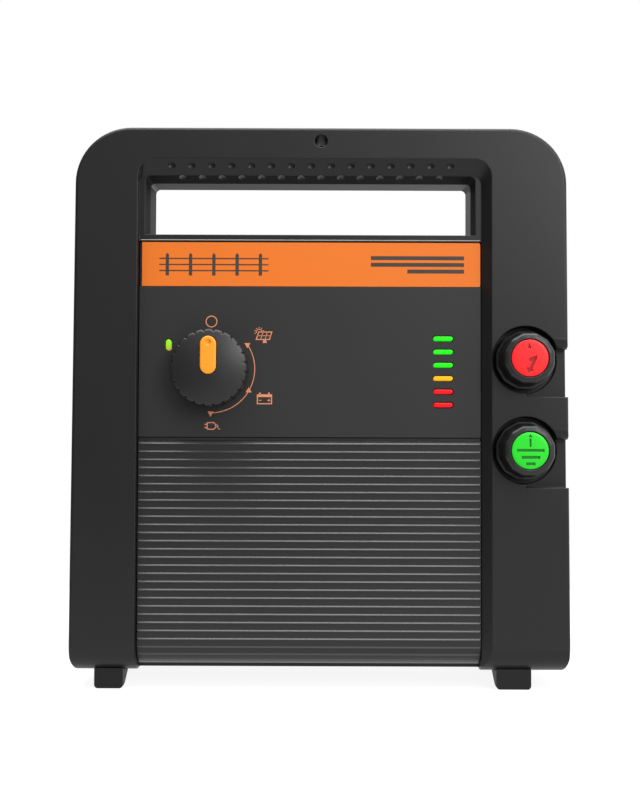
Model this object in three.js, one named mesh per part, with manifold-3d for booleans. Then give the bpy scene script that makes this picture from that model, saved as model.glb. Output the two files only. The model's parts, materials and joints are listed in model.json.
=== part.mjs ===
// Electric fence energizer: a portable two-shell case with a carrying handle, a rotary power
// selector, charge indicators and two wire terminals. Millimetres, +Z up, the front faces -Y,
// and the origin is the centre of the base, on the surface that the feet stand on.
// "Depth" below always means the distance behind the plane of the front face.

import * as THREE from 'three';
import { mergeVertices } from 'three/addons/utils/BufferGeometryUtils.js';
import Module from 'manifold-3d';

const wasm = await Module();
wasm.setup();

// ---- driving dimensions ---------------------------------------------------------------------

const GAP = 0.3; // clearance between neighbouring pieces
const WALL = 3; // wall of both shells
const CASE_DEPTH = 94;
const TERMINAL_PROUD = 13.2; // terminal knobs stand this far in front of the case
const FRONT_Y = -(CASE_DEPTH - TERMINAL_PROUD) / 2;
const BACK_Y = FRONT_Y + CASE_DEPTH;
const depth = (d) => FRONT_Y + d;

const TOP_Z = 275.6;
const BASE_Z = 8.8; // underside of the case, above the feet
const HALF_BASE = 122; // half width just above the bottom corners
const HALF_TOP = 120.8; // half width just below the top corners
const TOP_CORNER_R = 27.5;
const BASE_CORNER = { x: 3.5, z: 13 };
const FRONT_CURL_R = 13; // the front face rolls under with this radius
const BACK_CURL_R = 12;
const EDGE_R = 1.4; // small radius along the front and back edges

const GRIP_BACK_Y = depth(40.5); // the handle is thinner than the case
const SHOULDER = { top: 219, low: 172 }; // slope from the handle out to the back of the case
const PART_Y = depth(24); // parting plane of the two shells
const SEAL_DEPTH = 2.2; // seat of the gaskets in the rear shell
const SEAL_INSET = 1.6; // and its distance in from the outside of the case

const RECESS = {
  left: -89.8, right: 79.3, top: 252.6, depth: 5,
  slopeLeft: 0.2, slopeRight: 4.6, slopeTop: 7.8, floorR: 4, mouthR: 8.8,
};
const PANEL_THICK = 3.2;
const PANEL_BASE_Z = 11; // underside of the ribbed panel
const PANEL_TOP_Z = 219.7;
const PANEL_SPLIT_Z = 123.3; // control panel above, ribbed panel below
const STRIP_LOW_Z = 197.6; // coloured strip along the top of the control panel
const CURL_END_Y = depth(20); // the ribbed panel wraps under the case to here

const OPENING = { left: -86.9, right: 76.3, low: 223.3, top: 252.6, r: 2.5 };
const HANG_HOLE = { x: 0, z: 269, r: 3.2 };

const SELECTOR = { x: -54, z: 156.8, r: 18.8, lobes: 24, front: -11.4 };
const POINTER = { w: 7.7, low: -3.4, high: 14.9, front: SELECTOR.front - 1 };
const SHAFT_R = 3;
const LED = { x: 60.5, top: 172.1, pitch: 6.55, count: 6, w: 9.8, h: 2.5 };
const STATUS = { x: -74.9, z: 168.6, w: 2.95, h: 5.66 };

const TERMINALS = [
  { name: 'live', x: 100.4, z: 161.5, color: '#f83238' },
  { name: 'earth', x: 100.4, z: 117.1, color: '#2ddc32' },
];
const POCKET = { r: 16.6, depth: 11, slotDepth: 9, slotUp: 5.4, slotDown: 18.2, lip: 5.4 };
const STUD_R = 4;
const SKIRT_FLAT = 14.3; // half width across the flats of the knob's skirt
const CROWN_FLAT = 12.1; // half width across the flats of its front
const CAP_R = 8.95;
const KNOB_SIDES = 12;
const KNOB_REAR = 7.4; // depths of the stack that clamps the wire
const WASHER = { y0: 7.7, y1: 9, r: 10.5 };
const CONTACT = { y0: 9.3, y1: 10.6, r: 13 };
const STUD = { y0: -8, y1: 28 };
const STUD_SEAL = { y0: POCKET.depth + WALL + GAP, y1: POCKET.depth + WALL + 1.5, r: 8 };
const NUT = { r: 7.5, h: 6 };

const FEET = [
  { name: 'foot_front_left', x0: -110.4, x1: -96.3, y0: depth(7), y1: depth(28.6) },
  { name: 'foot_front_right', x0: 86.8, x1: 103.9, y0: depth(7), y1: depth(28.6) },
  { name: 'foot_rear_left', x0: -110.4, x1: -96.3, y0: BACK_Y - 29.6, y1: BACK_Y - 8 },
  { name: 'foot_rear_right', x0: 86.8, x1: 103.9, y0: BACK_Y - 29.6, y1: BACK_Y - 8 },
];
const FOOT_PEG_R = 3;
const footPeg = (foot) => ({ x: (foot.x0 + foot.x1) / 2, y: foot.y0 + 9 });

const SCREWS = [
  { x: -104, z: 240 }, { x: 99, z: 240 },
  { x: -110, z: 139 }, { x: 110, z: 139 },
  { x: -110, z: 26 }, { x: 110, z: 26 },
];
const SCREW = { headR: 3.8, headH: 2.6, shankR: 1.9, length: 15, seatY: PART_Y + 6 };

const BOARD = { x0: -80, x1: 72, z0: 62, z1: 205, y0: depth(21.5), y1: depth(23.1) };
const BOARD_POSTS = [[-74, 68], [66, 68], [-74, 199], [66, 199]];
const CORE = { x: -38, z: 38, w: 62, h: 50, y0: BOARD.y1 + 8, y1: BOARD.y1 + 42, limb: 11 };
const BAY = { x0: 46, x1: 84, top: 34, y0: BACK_Y - 20 }; // recess for the power plug
const INLET = { x: 65, y: BACK_Y - 10.5, r: 7, bore: 5.2, flangeR: 9.5, flangeH: 2, height: 17 };
const CONTACT_PIN = { r: 0.9, offset: 2.4 };
const CAPACITOR = { r: 16.5, h: 47.7, z: 112, xs: [-54, -16, 22] };
const SINK = { x0: -62, x1: -25, z0: 150, z1: 190, base: 3, fins: 6, fin: 2, height: 18 };
const LEAD_R = 1.9;

// ---- geometry helpers -----------------------------------------------------------------------

// A closed, outward-facing indexed geometry that holds positions only.
function weld(geometry) {
  const bare = geometry.clone();
  for (const name of Object.keys(bare.attributes)) {
    if (name !== 'position') bare.deleteAttribute(name);
  }
  const welded = mergeVertices(bare, 1e-4);
  const p = welded.attributes.position;
  const all = welded.index.array;
  const index = [];
  const [a, b, c] = [new THREE.Vector3(), new THREE.Vector3(), new THREE.Vector3()];
  let volume = 0;
  for (let i = 0; i < all.length; i += 3) {
    const [u, v, w] = [all[i], all[i + 1], all[i + 2]];
    if (u === v || v === w || w === u) continue; // a triangle that closed to a line at a pole
    index.push(u, v, w);
    a.fromBufferAttribute(p, u);
    b.fromBufferAttribute(p, v);
    c.fromBufferAttribute(p, w);
    volume += a.dot(b.cross(c));
  }
  if (volume < 0) index.reverse();
  welded.setIndex(index);
  welded.computeVertexNormals();
  return welded;
}

function solid(geometry) {
  const welded = weld(geometry);
  return new wasm.Manifold(new wasm.Mesh({
    numProp: 3,
    vertProperties: new Float32Array(welded.attributes.position.array),
    triVerts: new Uint32Array(welded.index.array),
  }));
}

function geometryOf(manifold) {
  const mesh = manifold.getMesh();
  const geometry = new THREE.BufferGeometry();
  geometry.setAttribute('position', new THREE.BufferAttribute(mesh.vertProperties, 3));
  geometry.setIndex(new THREE.BufferAttribute(mesh.triVerts, 1));
  geometry.computeVertexNormals();
  return geometry;
}

const join = (...solids) => solids.reduce((sum, s) => sum.add(s));
const cut = (body, ...tools) => tools.reduce((rest, s) => rest.subtract(s), body);

// Extrudes a shape drawn in X and Z from y0 back to y1.
function alongY(shape, y0, y1, segments = 8) {
  const geometry = new THREE.ExtrudeGeometry(shape, {
    depth: y1 - y0, curveSegments: segments, bevelEnabled: false,
  });
  return geometry.rotateX(Math.PI / 2).translate(0, y1, 0);
}

// Extrudes a shape drawn in Y and Z from x0 to x1.
function alongX(shape, x0, x1, segments = 8) {
  const geometry = new THREE.ExtrudeGeometry(shape, {
    depth: x1 - x0, curveSegments: segments, bevelEnabled: false,
  });
  const turn = new THREE.Matrix4().makeBasis(
    new THREE.Vector3(0, 1, 0), new THREE.Vector3(0, 0, 1), new THREE.Vector3(1, 0, 0));
  return geometry.applyMatrix4(turn).translate(x0, 0, 0);
}

// Turns a profile of [radius, y] points about the Y direction through (x, z).
function turned(profile, x, z, segments = 24, phase = 0) {
  const points = profile.map(([r, y]) => new THREE.Vector2(r, y));
  return new THREE.LatheGeometry(points, segments, phase, 2 * Math.PI).translate(x, 0, z);
}

const disc = (r, y0, y1, x, z, segments = 24) =>
  turned([[0, y0], [r, y0], [r, y1], [0, y1]], x, z, segments);

const ring = (r0, r1, y0, y1, x, z, segments = 24) =>
  turned([[r0, y0], [r1, y0], [r1, y1], [r0, y1], [r0, y0]], x, z, segments);

function box(x0, x1, y0, y1, z0, z1) {
  const geometry = new THREE.BoxGeometry(x1 - x0, y1 - y0, z1 - z0);
  return geometry.translate((x0 + x1) / 2, (y0 + y1) / 2, (z0 + z1) / 2);
}

// Rounded rectangle; rTop and rBase are the radii of its upper and lower corners.
function rectangle(x0, x1, z0, z1, rTop = 0, rBase = 0) {
  const shape = new THREE.Shape();
  const corner = (x, z, r, start) => {
    if (r > 0) shape.absarc(x, z, r, start, start + Math.PI / 2, false);
    else shape.lineTo(x, z);
  };
  if (rBase === 0) shape.moveTo(x0, z0);
  corner(x1 - rBase, z0 + rBase, rBase, -Math.PI / 2);
  corner(x1 - rTop, z1 - rTop, rTop, 0);
  corner(x0 + rTop, z1 - rTop, rTop, Math.PI / 2);
  if (rBase > 0) corner(x0 + rBase, z0 + rBase, rBase, Math.PI);
  return shape;
}

// Solid through outlines in X and Z with matching points, given as [shape, y] from front to back.
function loft(layers, segments = 6) {
  const sections = layers.map(([shape]) => {
    const points = shape.getPoints(segments);
    if (points[0].distanceTo(points.at(-1)) < 1e-6) points.pop();
    return points;
  });
  const n = sections[0].length;
  const last = (layers.length - 1) * n;
  const positions = sections.flatMap((points, k) => points.flatMap((p) => [p.x, layers[k][1], p.y]));
  const index = [];
  for (const [a, b, c] of THREE.ShapeUtils.triangulateShape(sections[0], [])) {
    index.push(a, b, c, last + a, last + c, last + b);
  }
  for (let base = 0; base < last; base += n) {
    for (let i = 0; i < n; i++) {
      const [p, q] = [base + i, base + ((i + 1) % n)];
      index.push(p, p + n, q, q, p + n, q + n);
    }
  }
  const geometry = new THREE.BufferGeometry();
  geometry.setAttribute('position', new THREE.Float32BufferAttribute(positions, 3));
  geometry.setIndex(index);
  return geometry;
}

// ---- shared forms of the case ---------------------------------------------------------------

// Front view of the case, shrunk by inset on every side.
function outline(inset) {
  const shape = new THREE.Shape();
  const [top, base] = [TOP_Z - inset, BASE_Z + inset];
  const r = TOP_CORNER_R - inset;
  const rx = Math.max(BASE_CORNER.x - inset, 0.6);
  const rz = BASE_CORNER.z - inset;
  const [wide, narrow] = [HALF_BASE - inset, HALF_TOP - inset];
  shape.absellipse(wide - rx, base + rz, rx, rz, -Math.PI / 2, 0, false, 0);
  shape.absarc(narrow - r, top - r, r, 0, Math.PI / 2, false);
  shape.absarc(-narrow + r, top - r, r, Math.PI / 2, Math.PI, false);
  shape.absellipse(-wide + rx, base + rz, rx, rz, Math.PI, 1.5 * Math.PI, false, 0);
  return shape;
}

// Side view of the case in Y and Z, shrunk by inset.
function sideProfile(inset) {
  const [front, back] = [FRONT_Y + inset, BACK_Y - inset];
  const [top, base] = [TOP_Z - inset, BASE_Z + inset];
  const gripBack = GRIP_BACK_Y - inset;
  const slope = (SHOULDER.top - SHOULDER.low) / (GRIP_BACK_Y - BACK_Y);
  const drop = inset * (Math.hypot(1, slope) + slope);
  const [rf, rb] = [FRONT_CURL_R - inset, BACK_CURL_R - inset];
  const bend = 9; // softens both ends of the shoulder
  const shape = new THREE.Shape();
  shape.absarc(back - rb, base + rb, rb, -Math.PI / 2, 0, false);
  shape.lineTo(back, SHOULDER.low - drop - bend);
  shape.quadraticCurveTo(back, SHOULDER.low - drop, back - bend, SHOULDER.low - drop - bend * slope);
  shape.lineTo(gripBack + 0.6 * bend, SHOULDER.top - drop + 0.6 * bend * slope);
  shape.quadraticCurveTo(gripBack, SHOULDER.top - drop, gripBack, SHOULDER.top - drop + 0.6 * bend);
  shape.lineTo(gripBack, top);
  shape.lineTo(front, top);
  shape.absarc(front + rf, base + rf, rf, Math.PI, 1.5 * Math.PI, false);
  return shape;
}

// Side view of the panels' surface, which runs down the front and rolls under the case.
// inset 0 is the ribbed panel's outer face. The shape closes behind the parting plane.
function curlProfile(inset) {
  const [front, base, r] = [depth(RECESS.depth + inset), PANEL_BASE_Z + inset, FRONT_CURL_R - inset];
  const shape = new THREE.Shape();
  shape.moveTo(BACK_Y, base);
  shape.lineTo(BACK_Y, TOP_Z + 5);
  shape.lineTo(front, TOP_Z + 5);
  shape.absarc(front + r, base + r, r, Math.PI, 1.5 * Math.PI, false);
  return shape;
}

const REACH = HALF_BASE + 10; // well outside the case on both sides

// The edge radius, as outlines shrunk by inset at a distance in from the end face.
const edge = [0, 45, 90].map((degrees) => {
  const a = THREE.MathUtils.degToRad(degrees);
  return { inset: EDGE_R * (1 - Math.sin(a)), from: EDGE_R * (1 - Math.cos(a)) };
});
const caseForm = solid(loft([
  ...edge.map(({ inset, from }) => [outline(inset), FRONT_Y + from]),
  ...edge.map(({ inset, from }) => [outline(inset), BACK_Y - from]).reverse(),
], 8))
  .intersect(solid(alongX(sideProfile(0), -REACH, REACH)));
const cavityForm = solid(alongY(outline(WALL), depth(WALL), BACK_Y - WALL, 5))
  .intersect(solid(alongX(sideProfile(WALL), -REACH, REACH, 6)));

const frontHalf = solid(box(-REACH, REACH, FRONT_Y - 20, PART_Y - GAP / 2, -20, TOP_Z + 20));
const rearHalf = solid(box(-REACH, REACH, PART_Y + GAP / 2, BACK_Y + 20, -20, TOP_Z + 20));

function openingShape(grow, shrinkSide = 0) {
  const { left, right, low, top, r } = OPENING;
  return rectangle(left - grow + shrinkSide, right + grow - shrinkSide, low - grow, top + grow, r);
}

// The hand opening. Its rear half narrows a little towards the back.
function openingCut() {
  return join(
    solid(alongY(openingShape(0), FRONT_Y - 5, PART_Y)),
    solid(loft([[openingShape(0), PART_Y - 0.01], [openingShape(0, 1.3), GRIP_BACK_Y + 12]])),
  );
}

const openingStock = solid(alongY(openingShape(WALL), FRONT_Y, GRIP_BACK_Y + 10));
const hangStock = solid(disc(HANG_HOLE.r + 2.4, FRONT_Y, GRIP_BACK_Y, HANG_HOLE.x, HANG_HOLE.z));
const hangCut = solid(disc(HANG_HOLE.r, FRONT_Y - 5, GRIP_BACK_Y + 5, HANG_HOLE.x, HANG_HOLE.z));
const pegCuts = FEET.map((foot) => {
  const peg = footPeg(foot);
  return solid(turned([[0, 0], [FOOT_PEG_R + GAP, 0], [FOOT_PEG_R + GAP, 40], [0, 40]], 0, 0, 16)
    .rotateX(Math.PI / 2).translate(peg.x, peg.y, -5));
});

// ---- front shell ----------------------------------------------------------------------------

// The dished field that holds the panels: floor-level outline and the wider one at the front.
function recessCut() {
  const { left, right, top, slopeLeft, slopeRight, slopeTop, floorR, mouthR } = RECESS;
  const field = (share, r) =>
    rectangle(left - share * slopeLeft, right + share * slopeRight, -5, top + share * slopeTop, r);
  const [floor, mouth, over] = [field(0, floorR), field(1, mouthR), field(1 + 1 / RECESS.depth, mouthR)];
  const dish = solid(loft([[over, FRONT_Y - 1], [mouth, FRONT_Y], [floor, depth(RECESS.depth)]]));
  const pocket = solid(box(left, right, FRONT_Y - 5, CURL_END_Y, -5, PANEL_TOP_Z + GAP))
    .subtract(solid(alongX(curlProfile(PANEL_THICK + GAP), -REACH, REACH, 8)));
  return join(dish, pocket);
}

function pocketCut({ x, z }) {
  const { r, depth: floor, slotDepth, slotUp, slotDown, lip } = POCKET;
  const round = solid(disc(r, FRONT_Y - 2, depth(floor), x, z, 40));
  const slot = solid(box(x, REACH, FRONT_Y - 2, depth(slotDepth), z - slotDown, z + slotUp));
  const lipShape = new THREE.Shape(); // rounds the top edge of the slot towards the front
  lipShape.moveTo(FRONT_Y - 2, z + slotUp - 0.1);
  lipShape.lineTo(depth(lip), z + slotUp - 0.1);
  lipShape.lineTo(depth(lip), z + slotUp);
  lipShape.absarc(depth(lip), z + slotUp + lip, lip, 1.5 * Math.PI, Math.PI, true);
  lipShape.lineTo(FRONT_Y - 2, z + slotUp + lip);
  const stud = solid(disc(STUD_R + GAP, FRONT_Y, PART_Y, x, z, 16));
  return join(round, slot, solid(alongX(lipShape, x + 4, REACH, 5)), stud);
}

function pocketStock({ x, z }) {
  const { r, depth: floor, slotDepth, slotUp, slotDown } = POCKET;
  return join(
    solid(disc(r + WALL, FRONT_Y, depth(floor + WALL), x, z, 32)),
    solid(box(x, REACH, FRONT_Y, depth(slotDepth + WALL), z - slotDown - WALL, z + slotUp + WALL + 4)),
  );
}

function frontShell() {
  const { left, right } = RECESS;
  const floorStock = solid(box(left - WALL, right + WALL, FRONT_Y, PART_Y, 0, PANEL_TOP_Z + WALL))
    .subtract(solid(alongX(curlProfile(PANEL_THICK + GAP + WALL), -REACH, REACH, 6)));
  const dishStock = solid(box(left, right + 6, FRONT_Y, depth(RECESS.depth + WALL), 215, 264));
  const bosses = SCREWS.map(({ x, z }) => solid(disc(5.5, FRONT_Y, PART_Y, x, z, 16)));
  const posts = BOARD_POSTS.map(([x, z]) => solid(disc(3.5, FRONT_Y, BOARD.y0 - GAP, x, z, 12)));
  const stock = join(
    floorStock, dishStock, openingStock, hangStock, ...TERMINALS.map(pocketStock), ...bosses, ...posts);
  const pilots = SCREWS.map(({ x, z }) =>
    solid(disc(SCREW.shankR + GAP, SCREW.seatY - SCREW.length - 2, PART_Y + 1, x, z, 12)));
  const postHoles = BOARD_POSTS.map(([x, z]) =>
    solid(disc(1.4, depth(13), PART_Y, x, z, 10)));
  const windows = [
    solid(disc(4.6, FRONT_Y, PART_Y, SELECTOR.x, SELECTOR.z, 20)),
    solid(disc(4, FRONT_Y, PART_Y, STATUS.x, STATUS.z, 16)),
    solid(box(LED.x - 6.5, LED.x + 6.5, FRONT_Y, PART_Y, LED.top - 36, LED.top + 4)),
  ];
  const walls = caseForm.intersect(frontHalf).subtract(cavityForm.subtract(stock));
  return cut(walls, recessCut(), openingCut(), hangCut, ...TERMINALS.map(pocketCut),
    ...pilots, ...postHoles, ...windows, ...pegCuts.slice(0, 2));
}

// ---- rear shell -----------------------------------------------------------------------------

function rearShell() {
  const sleeves = SCREWS.map(({ x, z }) => solid(disc(7, PART_Y, BACK_Y, x, z, 20)));
  const bayStock = solid(box(BAY.x0 - WALL, BAY.x1 + WALL, BAY.y0 - WALL, BACK_Y, BASE_Z, BAY.top + WALL));
  const coreBlocks = [-28, 28].map((dx) =>
    solid(box(CORE.x + dx - 3, CORE.x + dx + 3, CORE.y1 + GAP, BACK_Y, CORE.z - 18, CORE.z + 18)));
  const stock = join(openingStock, hangStock, bayStock, ...sleeves, ...coreBlocks);
  const wells = SCREWS.map(({ x, z }) => join(
    solid(disc(SCREW.headR + 0.8, SCREW.seatY, BACK_Y + 5, x, z, 20)),
    solid(disc(SCREW.shankR + GAP, PART_Y - 1, SCREW.seatY + 1, x, z, 12)),
  ));
  const bay = solid(box(BAY.x0, BAY.x1, BAY.y0, BACK_Y + 5, -5, BAY.top));
  const inletHole = solid(disc(INLET.r + GAP, -5, 5, 0, 0, 24)
    .rotateX(Math.PI / 2).translate(INLET.x, INLET.y, BAY.top));
  const sealSeat = solid(alongY(outline(SEAL_INSET), PART_Y, PART_Y + SEAL_DEPTH))
    .subtract(solid(alongY(openingShape(WALL / 2), PART_Y - 1, PART_Y + 3)));
  const walls = caseForm.intersect(rearHalf).subtract(cavityForm.subtract(stock));
  return cut(walls, sealSeat, openingCut(), hangCut, ...wells, bay, inletHole, ...pegCuts);
}

// Gasket between the shells, inside the outer wall.
function caseSeal() {
  const shape = outline(SEAL_INSET + GAP);
  shape.holes.push(outline(WALL + 0.2));
  return alongY(shape, PART_Y + GAP, PART_Y + SEAL_DEPTH - GAP, 6);
}

// Gasket round the hand opening.
function handleSeal() {
  const shape = openingShape(WALL);
  shape.holes.push(openingShape(WALL / 2 + GAP));
  const hang = solid(disc(HANG_HOLE.r + 3, PART_Y, PART_Y + 3, HANG_HOLE.x, HANG_HOLE.z));
  return cut(solid(alongY(shape, PART_Y + GAP, PART_Y + SEAL_DEPTH - GAP)), hang);
}

function caseScrew({ x, z }) {
  const { headR, headH, shankR, length, seatY } = SCREW;
  const seat = seatY + GAP;
  return turned([
    [0, seatY - length], [shankR, seatY - length + 1.5], [shankR, seat], [headR, seat],
    [headR - 0.9, seat + headH], [1.2, seat + headH], [0, seat + headH - 1.2],
  ], x, z, 10);
}

function foot({ x0, x1, y0, y1 }, peg) {
  const block = solid(alongY(rectangle(x0, x1, 0, 24, 0, 1.8), y0, y1, 4));
  const clear = solid(alongY(outline(-GAP), FRONT_Y - 5, BACK_Y + 5, 8))
    .intersect(solid(alongX(sideProfile(-GAP), -REACH, REACH)));
  const plug = solid(turned([[0, 0], [FOOT_PEG_R, 0], [FOOT_PEG_R, 8], [0, 8]], 0, 0, 16)
    .rotateX(Math.PI / 2).translate(peg.x, peg.y, 6));
  return join(block.subtract(clear), plug);
}

// ---- front panels ---------------------------------------------------------------------------

const PANEL_X0 = RECESS.left + GAP;
const PANEL_X1 = RECESS.right - GAP;
const ledHeight = (i) => LED.top - i * LED.pitch;
const pill = (x, z, w, h) => {
  const r = Math.min(w, h) / 2 - 0.05;
  return rectangle(x - w / 2, x + w / 2, z - h / 2, z + h / 2, r, r);
};

function controlPanel() {
  const [front, back] = [depth(RECESS.depth), depth(RECESS.depth + PANEL_THICK)];
  const shape = rectangle(PANEL_X0, PANEL_X1, PANEL_SPLIT_Z, PANEL_TOP_Z, 1, 0.6);
  const plate = solid(alongY(shape, front, back, 3));
  const strip = solid(box(-REACH, REACH, front - 1, front + 1.1, STRIP_LOW_Z - GAP / 2, TOP_Z));
  const windows = Array.from({ length: LED.count }, (_, i) =>
    solid(alongY(pill(LED.x, ledHeight(i), LED.w + 2 * GAP, LED.h + 2 * GAP), front - 1, back + 1,
      3)));
  const status = solid(alongY(pill(STATUS.x, STATUS.z, STATUS.w + 2 * GAP, STATUS.h + 2 * GAP),
    front - 1, back + 1, 3));
  const shaft = solid(disc(4.6, front - 1, back + 1, SELECTOR.x, SELECTOR.z, 16));
  return cut(plate, strip, ...windows, status, shaft);
}

function labelStrip() {
  const [low, high] = [STRIP_LOW_Z + GAP / 2, PANEL_TOP_Z - 0.2];
  const shape = rectangle(PANEL_X0 + 0.2, PANEL_X1 - 0.2, low, high, 0.8, 0.4);
  return alongY(shape, depth(RECESS.depth), depth(RECESS.depth) + 0.8, 3);
}

// Panel with horizontal ribs that rolls under the bottom of the case.
function ribbedPanel() {
  const ribPitch = 3.98;
  const ribs = 27;
  const firstRib = PANEL_SPLIT_Z - 3.3;
  const [halfFoot, halfCrest, height] = [0.95, 0.3, 1];
  const front = depth(RECESS.depth);
  const r = FRONT_CURL_R;
  const straight = firstRib - (PANEL_BASE_Z + r);
  // Point at distance s down the panel's face from the first rib, lifted off the face.
  const at = (s, lift) => {
    if (s <= straight) return [front - lift, firstRib - s];
    const a = Math.min((s - straight) / r, Math.PI / 2);
    const run = Math.max(s - straight - (r * Math.PI) / 2, 0);
    return [
      front + r - (r + lift) * Math.cos(a) + run,
      PANEL_BASE_Z + r - (r + lift) * Math.sin(a),
    ];
  };
  const shape = new THREE.Shape();
  const top = PANEL_SPLIT_Z - GAP;
  shape.moveTo(depth(RECESS.depth + PANEL_THICK), top);
  shape.lineTo(front + 1.2, top);
  shape.lineTo(front + 1.2, firstRib + 1.6);
  shape.lineTo(front, firstRib + 1.3);
  for (let i = 0; i < ribs; i++) {
    const s = i * ribPitch;
    const lift = i < 25 ? height : height * 0.5;
    shape.lineTo(...at(s - halfFoot, 0));
    shape.lineTo(...at(s - halfCrest, lift));
    shape.lineTo(...at(s + halfCrest, lift));
    shape.lineTo(...at(s + halfFoot, 0));
    if (s > straight) shape.lineTo(...at(s + ribPitch / 2, 0));
  }
  const end = CURL_END_Y - GAP;
  for (const a of [0.62, 0.75, 0.88, 1]) {
    const s = straight + (r * Math.PI * a) / 2;
    if (s > (ribs - 0.5) * ribPitch) shape.lineTo(...at(s, 0));
  }
  shape.lineTo(end, PANEL_BASE_Z);
  shape.lineTo(end, PANEL_BASE_Z + PANEL_THICK);
  const inner = FRONT_CURL_R - PANEL_THICK;
  shape.absarc(front + FRONT_CURL_R, PANEL_BASE_Z + FRONT_CURL_R, inner, 1.5 * Math.PI, Math.PI, true);
  return alongX(shape, PANEL_X0, PANEL_X1, 8);
}

function lens(x, z, w, h) {
  return alongY(pill(x, z, w, h), depth(RECESS.depth - 0.4), depth(RECESS.depth + 2.8), 3);
}

function lightGuide() {
  const base = solid(box(LED.x - 6, LED.x + 6, depth(17), BOARD.y0 - GAP, LED.top - 35.4, LED.top + 3));
  const fingers = Array.from({ length: LED.count }, (_, i) =>
    solid(box(LED.x - 4.6, LED.x + 4.6, depth(8.6), depth(18), ledHeight(i) - 1, ledHeight(i) + 1)));
  return join(base, ...fingers);
}

// ---- selector -------------------------------------------------------------------------------

// Outline with shallow round lobes about (x, z).
function lobed(x, z, r, lobes, dip) {
  const shape = new THREE.Shape();
  const steps = lobes * 4;
  for (let i = 0; i < steps; i++) {
    const a = (2 * Math.PI * i) / steps;
    const radius = r - dip * (0.5 - 0.5 * Math.cos(lobes * a));
    const point = [x + radius * Math.sin(a), z + radius * Math.cos(a)];
    if (i === 0) shape.moveTo(...point);
    else shape.lineTo(...point);
  }
  return shape;
}

const pointerShape = (grow) => pill(
  SELECTOR.x, SELECTOR.z + (POINTER.low + POINTER.high) / 2,
  POINTER.w + 2 * grow, POINTER.high - POINTER.low + 2 * grow);

function selectorKnob() {
  const { x, z, r, lobes, front } = SELECTOR;
  const rear = RECESS.depth - 0.6;
  const body = solid(alongY(lobed(x, z, r, lobes, 0.9), depth(front), depth(rear)));
  const dome = solid(turned([
    [0, depth(rear + 1)], [r + 1, depth(rear + 1)], [r + 1, depth(front + 4.5)],
    [r - 0.2, depth(front + 2.6)], [r - 1.5, depth(front + 1.3)], [r - 4, depth(front + 0.5)],
    [r - 9, depth(front + 0.1)], [0, depth(front)],
  ], x, z, 32));
  const bore = solid(disc(SHAFT_R + GAP, depth(front + 6), depth(rear + 1), x, z, 16));
  const sealSeat = solid(disc(7, depth(rear - 1.4), depth(rear + 1), x, z, 24));
  const slot = solid(alongY(pointerShape(GAP), depth(front - 5), depth(front + 2.6), 6));
  return cut(body.intersect(dome), bore, sealSeat, slot);
}

const knobPointer = () =>
  alongY(pointerShape(0), depth(POINTER.front), depth(SELECTOR.front + 2.3), 5);

// Round shaft with a flat along the end that carries the knob.
function selectorShaft() {
  const { x, z, front } = SELECTOR;
  const flat = solid(box(x - 5, x + 5, depth(front), depth(0), z + 0.75 * SHAFT_R, z + 5));
  return solid(disc(SHAFT_R, depth(front + 6.3), depth(18), x, z, 16)).subtract(flat);
}

const selectorSeal = () =>
  ring(SHAFT_R + GAP, 6.7, depth(RECESS.depth - 1.7), depth(RECESS.depth - GAP), SELECTOR.x, SELECTOR.z);

function rotarySwitch() {
  const { x, z } = SELECTOR;
  const housing = solid(box(x - 12, x + 12, depth(11.8), BOARD.y0 - GAP, z - 12, z + 12));
  const bushing = solid(disc(4.3, depth(RECESS.depth + 0.4), depth(13), x, z, 20));
  return join(housing, bushing).subtract(
    solid(disc(SHAFT_R + GAP, depth(0), depth(18.4), x, z, 16)));
}

// ---- wire terminals -------------------------------------------------------------------------

// Twelve-sided knob: a skirt in the pocket and a crown that holds the coloured cap.
function terminalKnob({ x, z }) {
  const skirt = SKIRT_FLAT / Math.cos(Math.PI / KNOB_SIDES);
  const crown = CROWN_FLAT / Math.cos(Math.PI / KNOB_SIDES);
  const front = -TERMINAL_PROUD;
  const body = solid(turned([
    [0, depth(KNOB_REAR)], [skirt - 0.6, depth(KNOB_REAR)], [skirt, depth(KNOB_REAR - 0.8)],
    [skirt, depth(1.2)], [skirt - 0.7, depth(0)], [crown + 0.9, depth(-1)], [crown, depth(front + 1.6)],
    [crown - 1.3, depth(front + 0.2)], [0, depth(front + 0.2)],
  ].reverse(), x, z, KNOB_SIDES, Math.PI / KNOB_SIDES));
  const capSeat = solid(disc(CAP_R + GAP, depth(front - 1), depth(front + 2.2), x, z, 32));
  const bore = solid(disc(STUD_R + GAP, depth(STUD.y0 - 1), depth(KNOB_REAR + 1), x, z, 16));
  return cut(body, capSeat, bore);
}

const terminalCap = ({ x, z }) => {
  const [front, r] = [-TERMINAL_PROUD, CAP_R];
  return turned([
    [0, depth(front + 1.9)], [r, depth(front + 1.9)], [r, depth(front + 0.3)],
    [r - 0.5, depth(front)], [0, depth(front)],
  ], x, z, 32);
};

const washer = ({ y0, y1, r }, { x, z }) => ring(STUD_R + GAP, r, depth(y0), depth(y1), x, z);

const terminalStud = ({ x, z }) => turned([
  [0, depth(STUD.y0)], [STUD_R - 0.8, depth(STUD.y0)], [STUD_R, depth(STUD.y0 + 0.8)],
  [STUD_R, depth(STUD.y1 - 0.8)], [STUD_R - 0.8, depth(STUD.y1)], [0, depth(STUD.y1)],
], x, z, 16);

function studNut({ x, z }) {
  const y0 = depth(STUD_SEAL.y1 + GAP);
  return solid(disc(NUT.r, y0, y0 + NUT.h, x, z, 6))
    .subtract(solid(disc(STUD_R + GAP, y0 - 1, y0 + NUT.h + 1, x, z, 16)));
}

// ---- inside the case ------------------------------------------------------------------------

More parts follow.
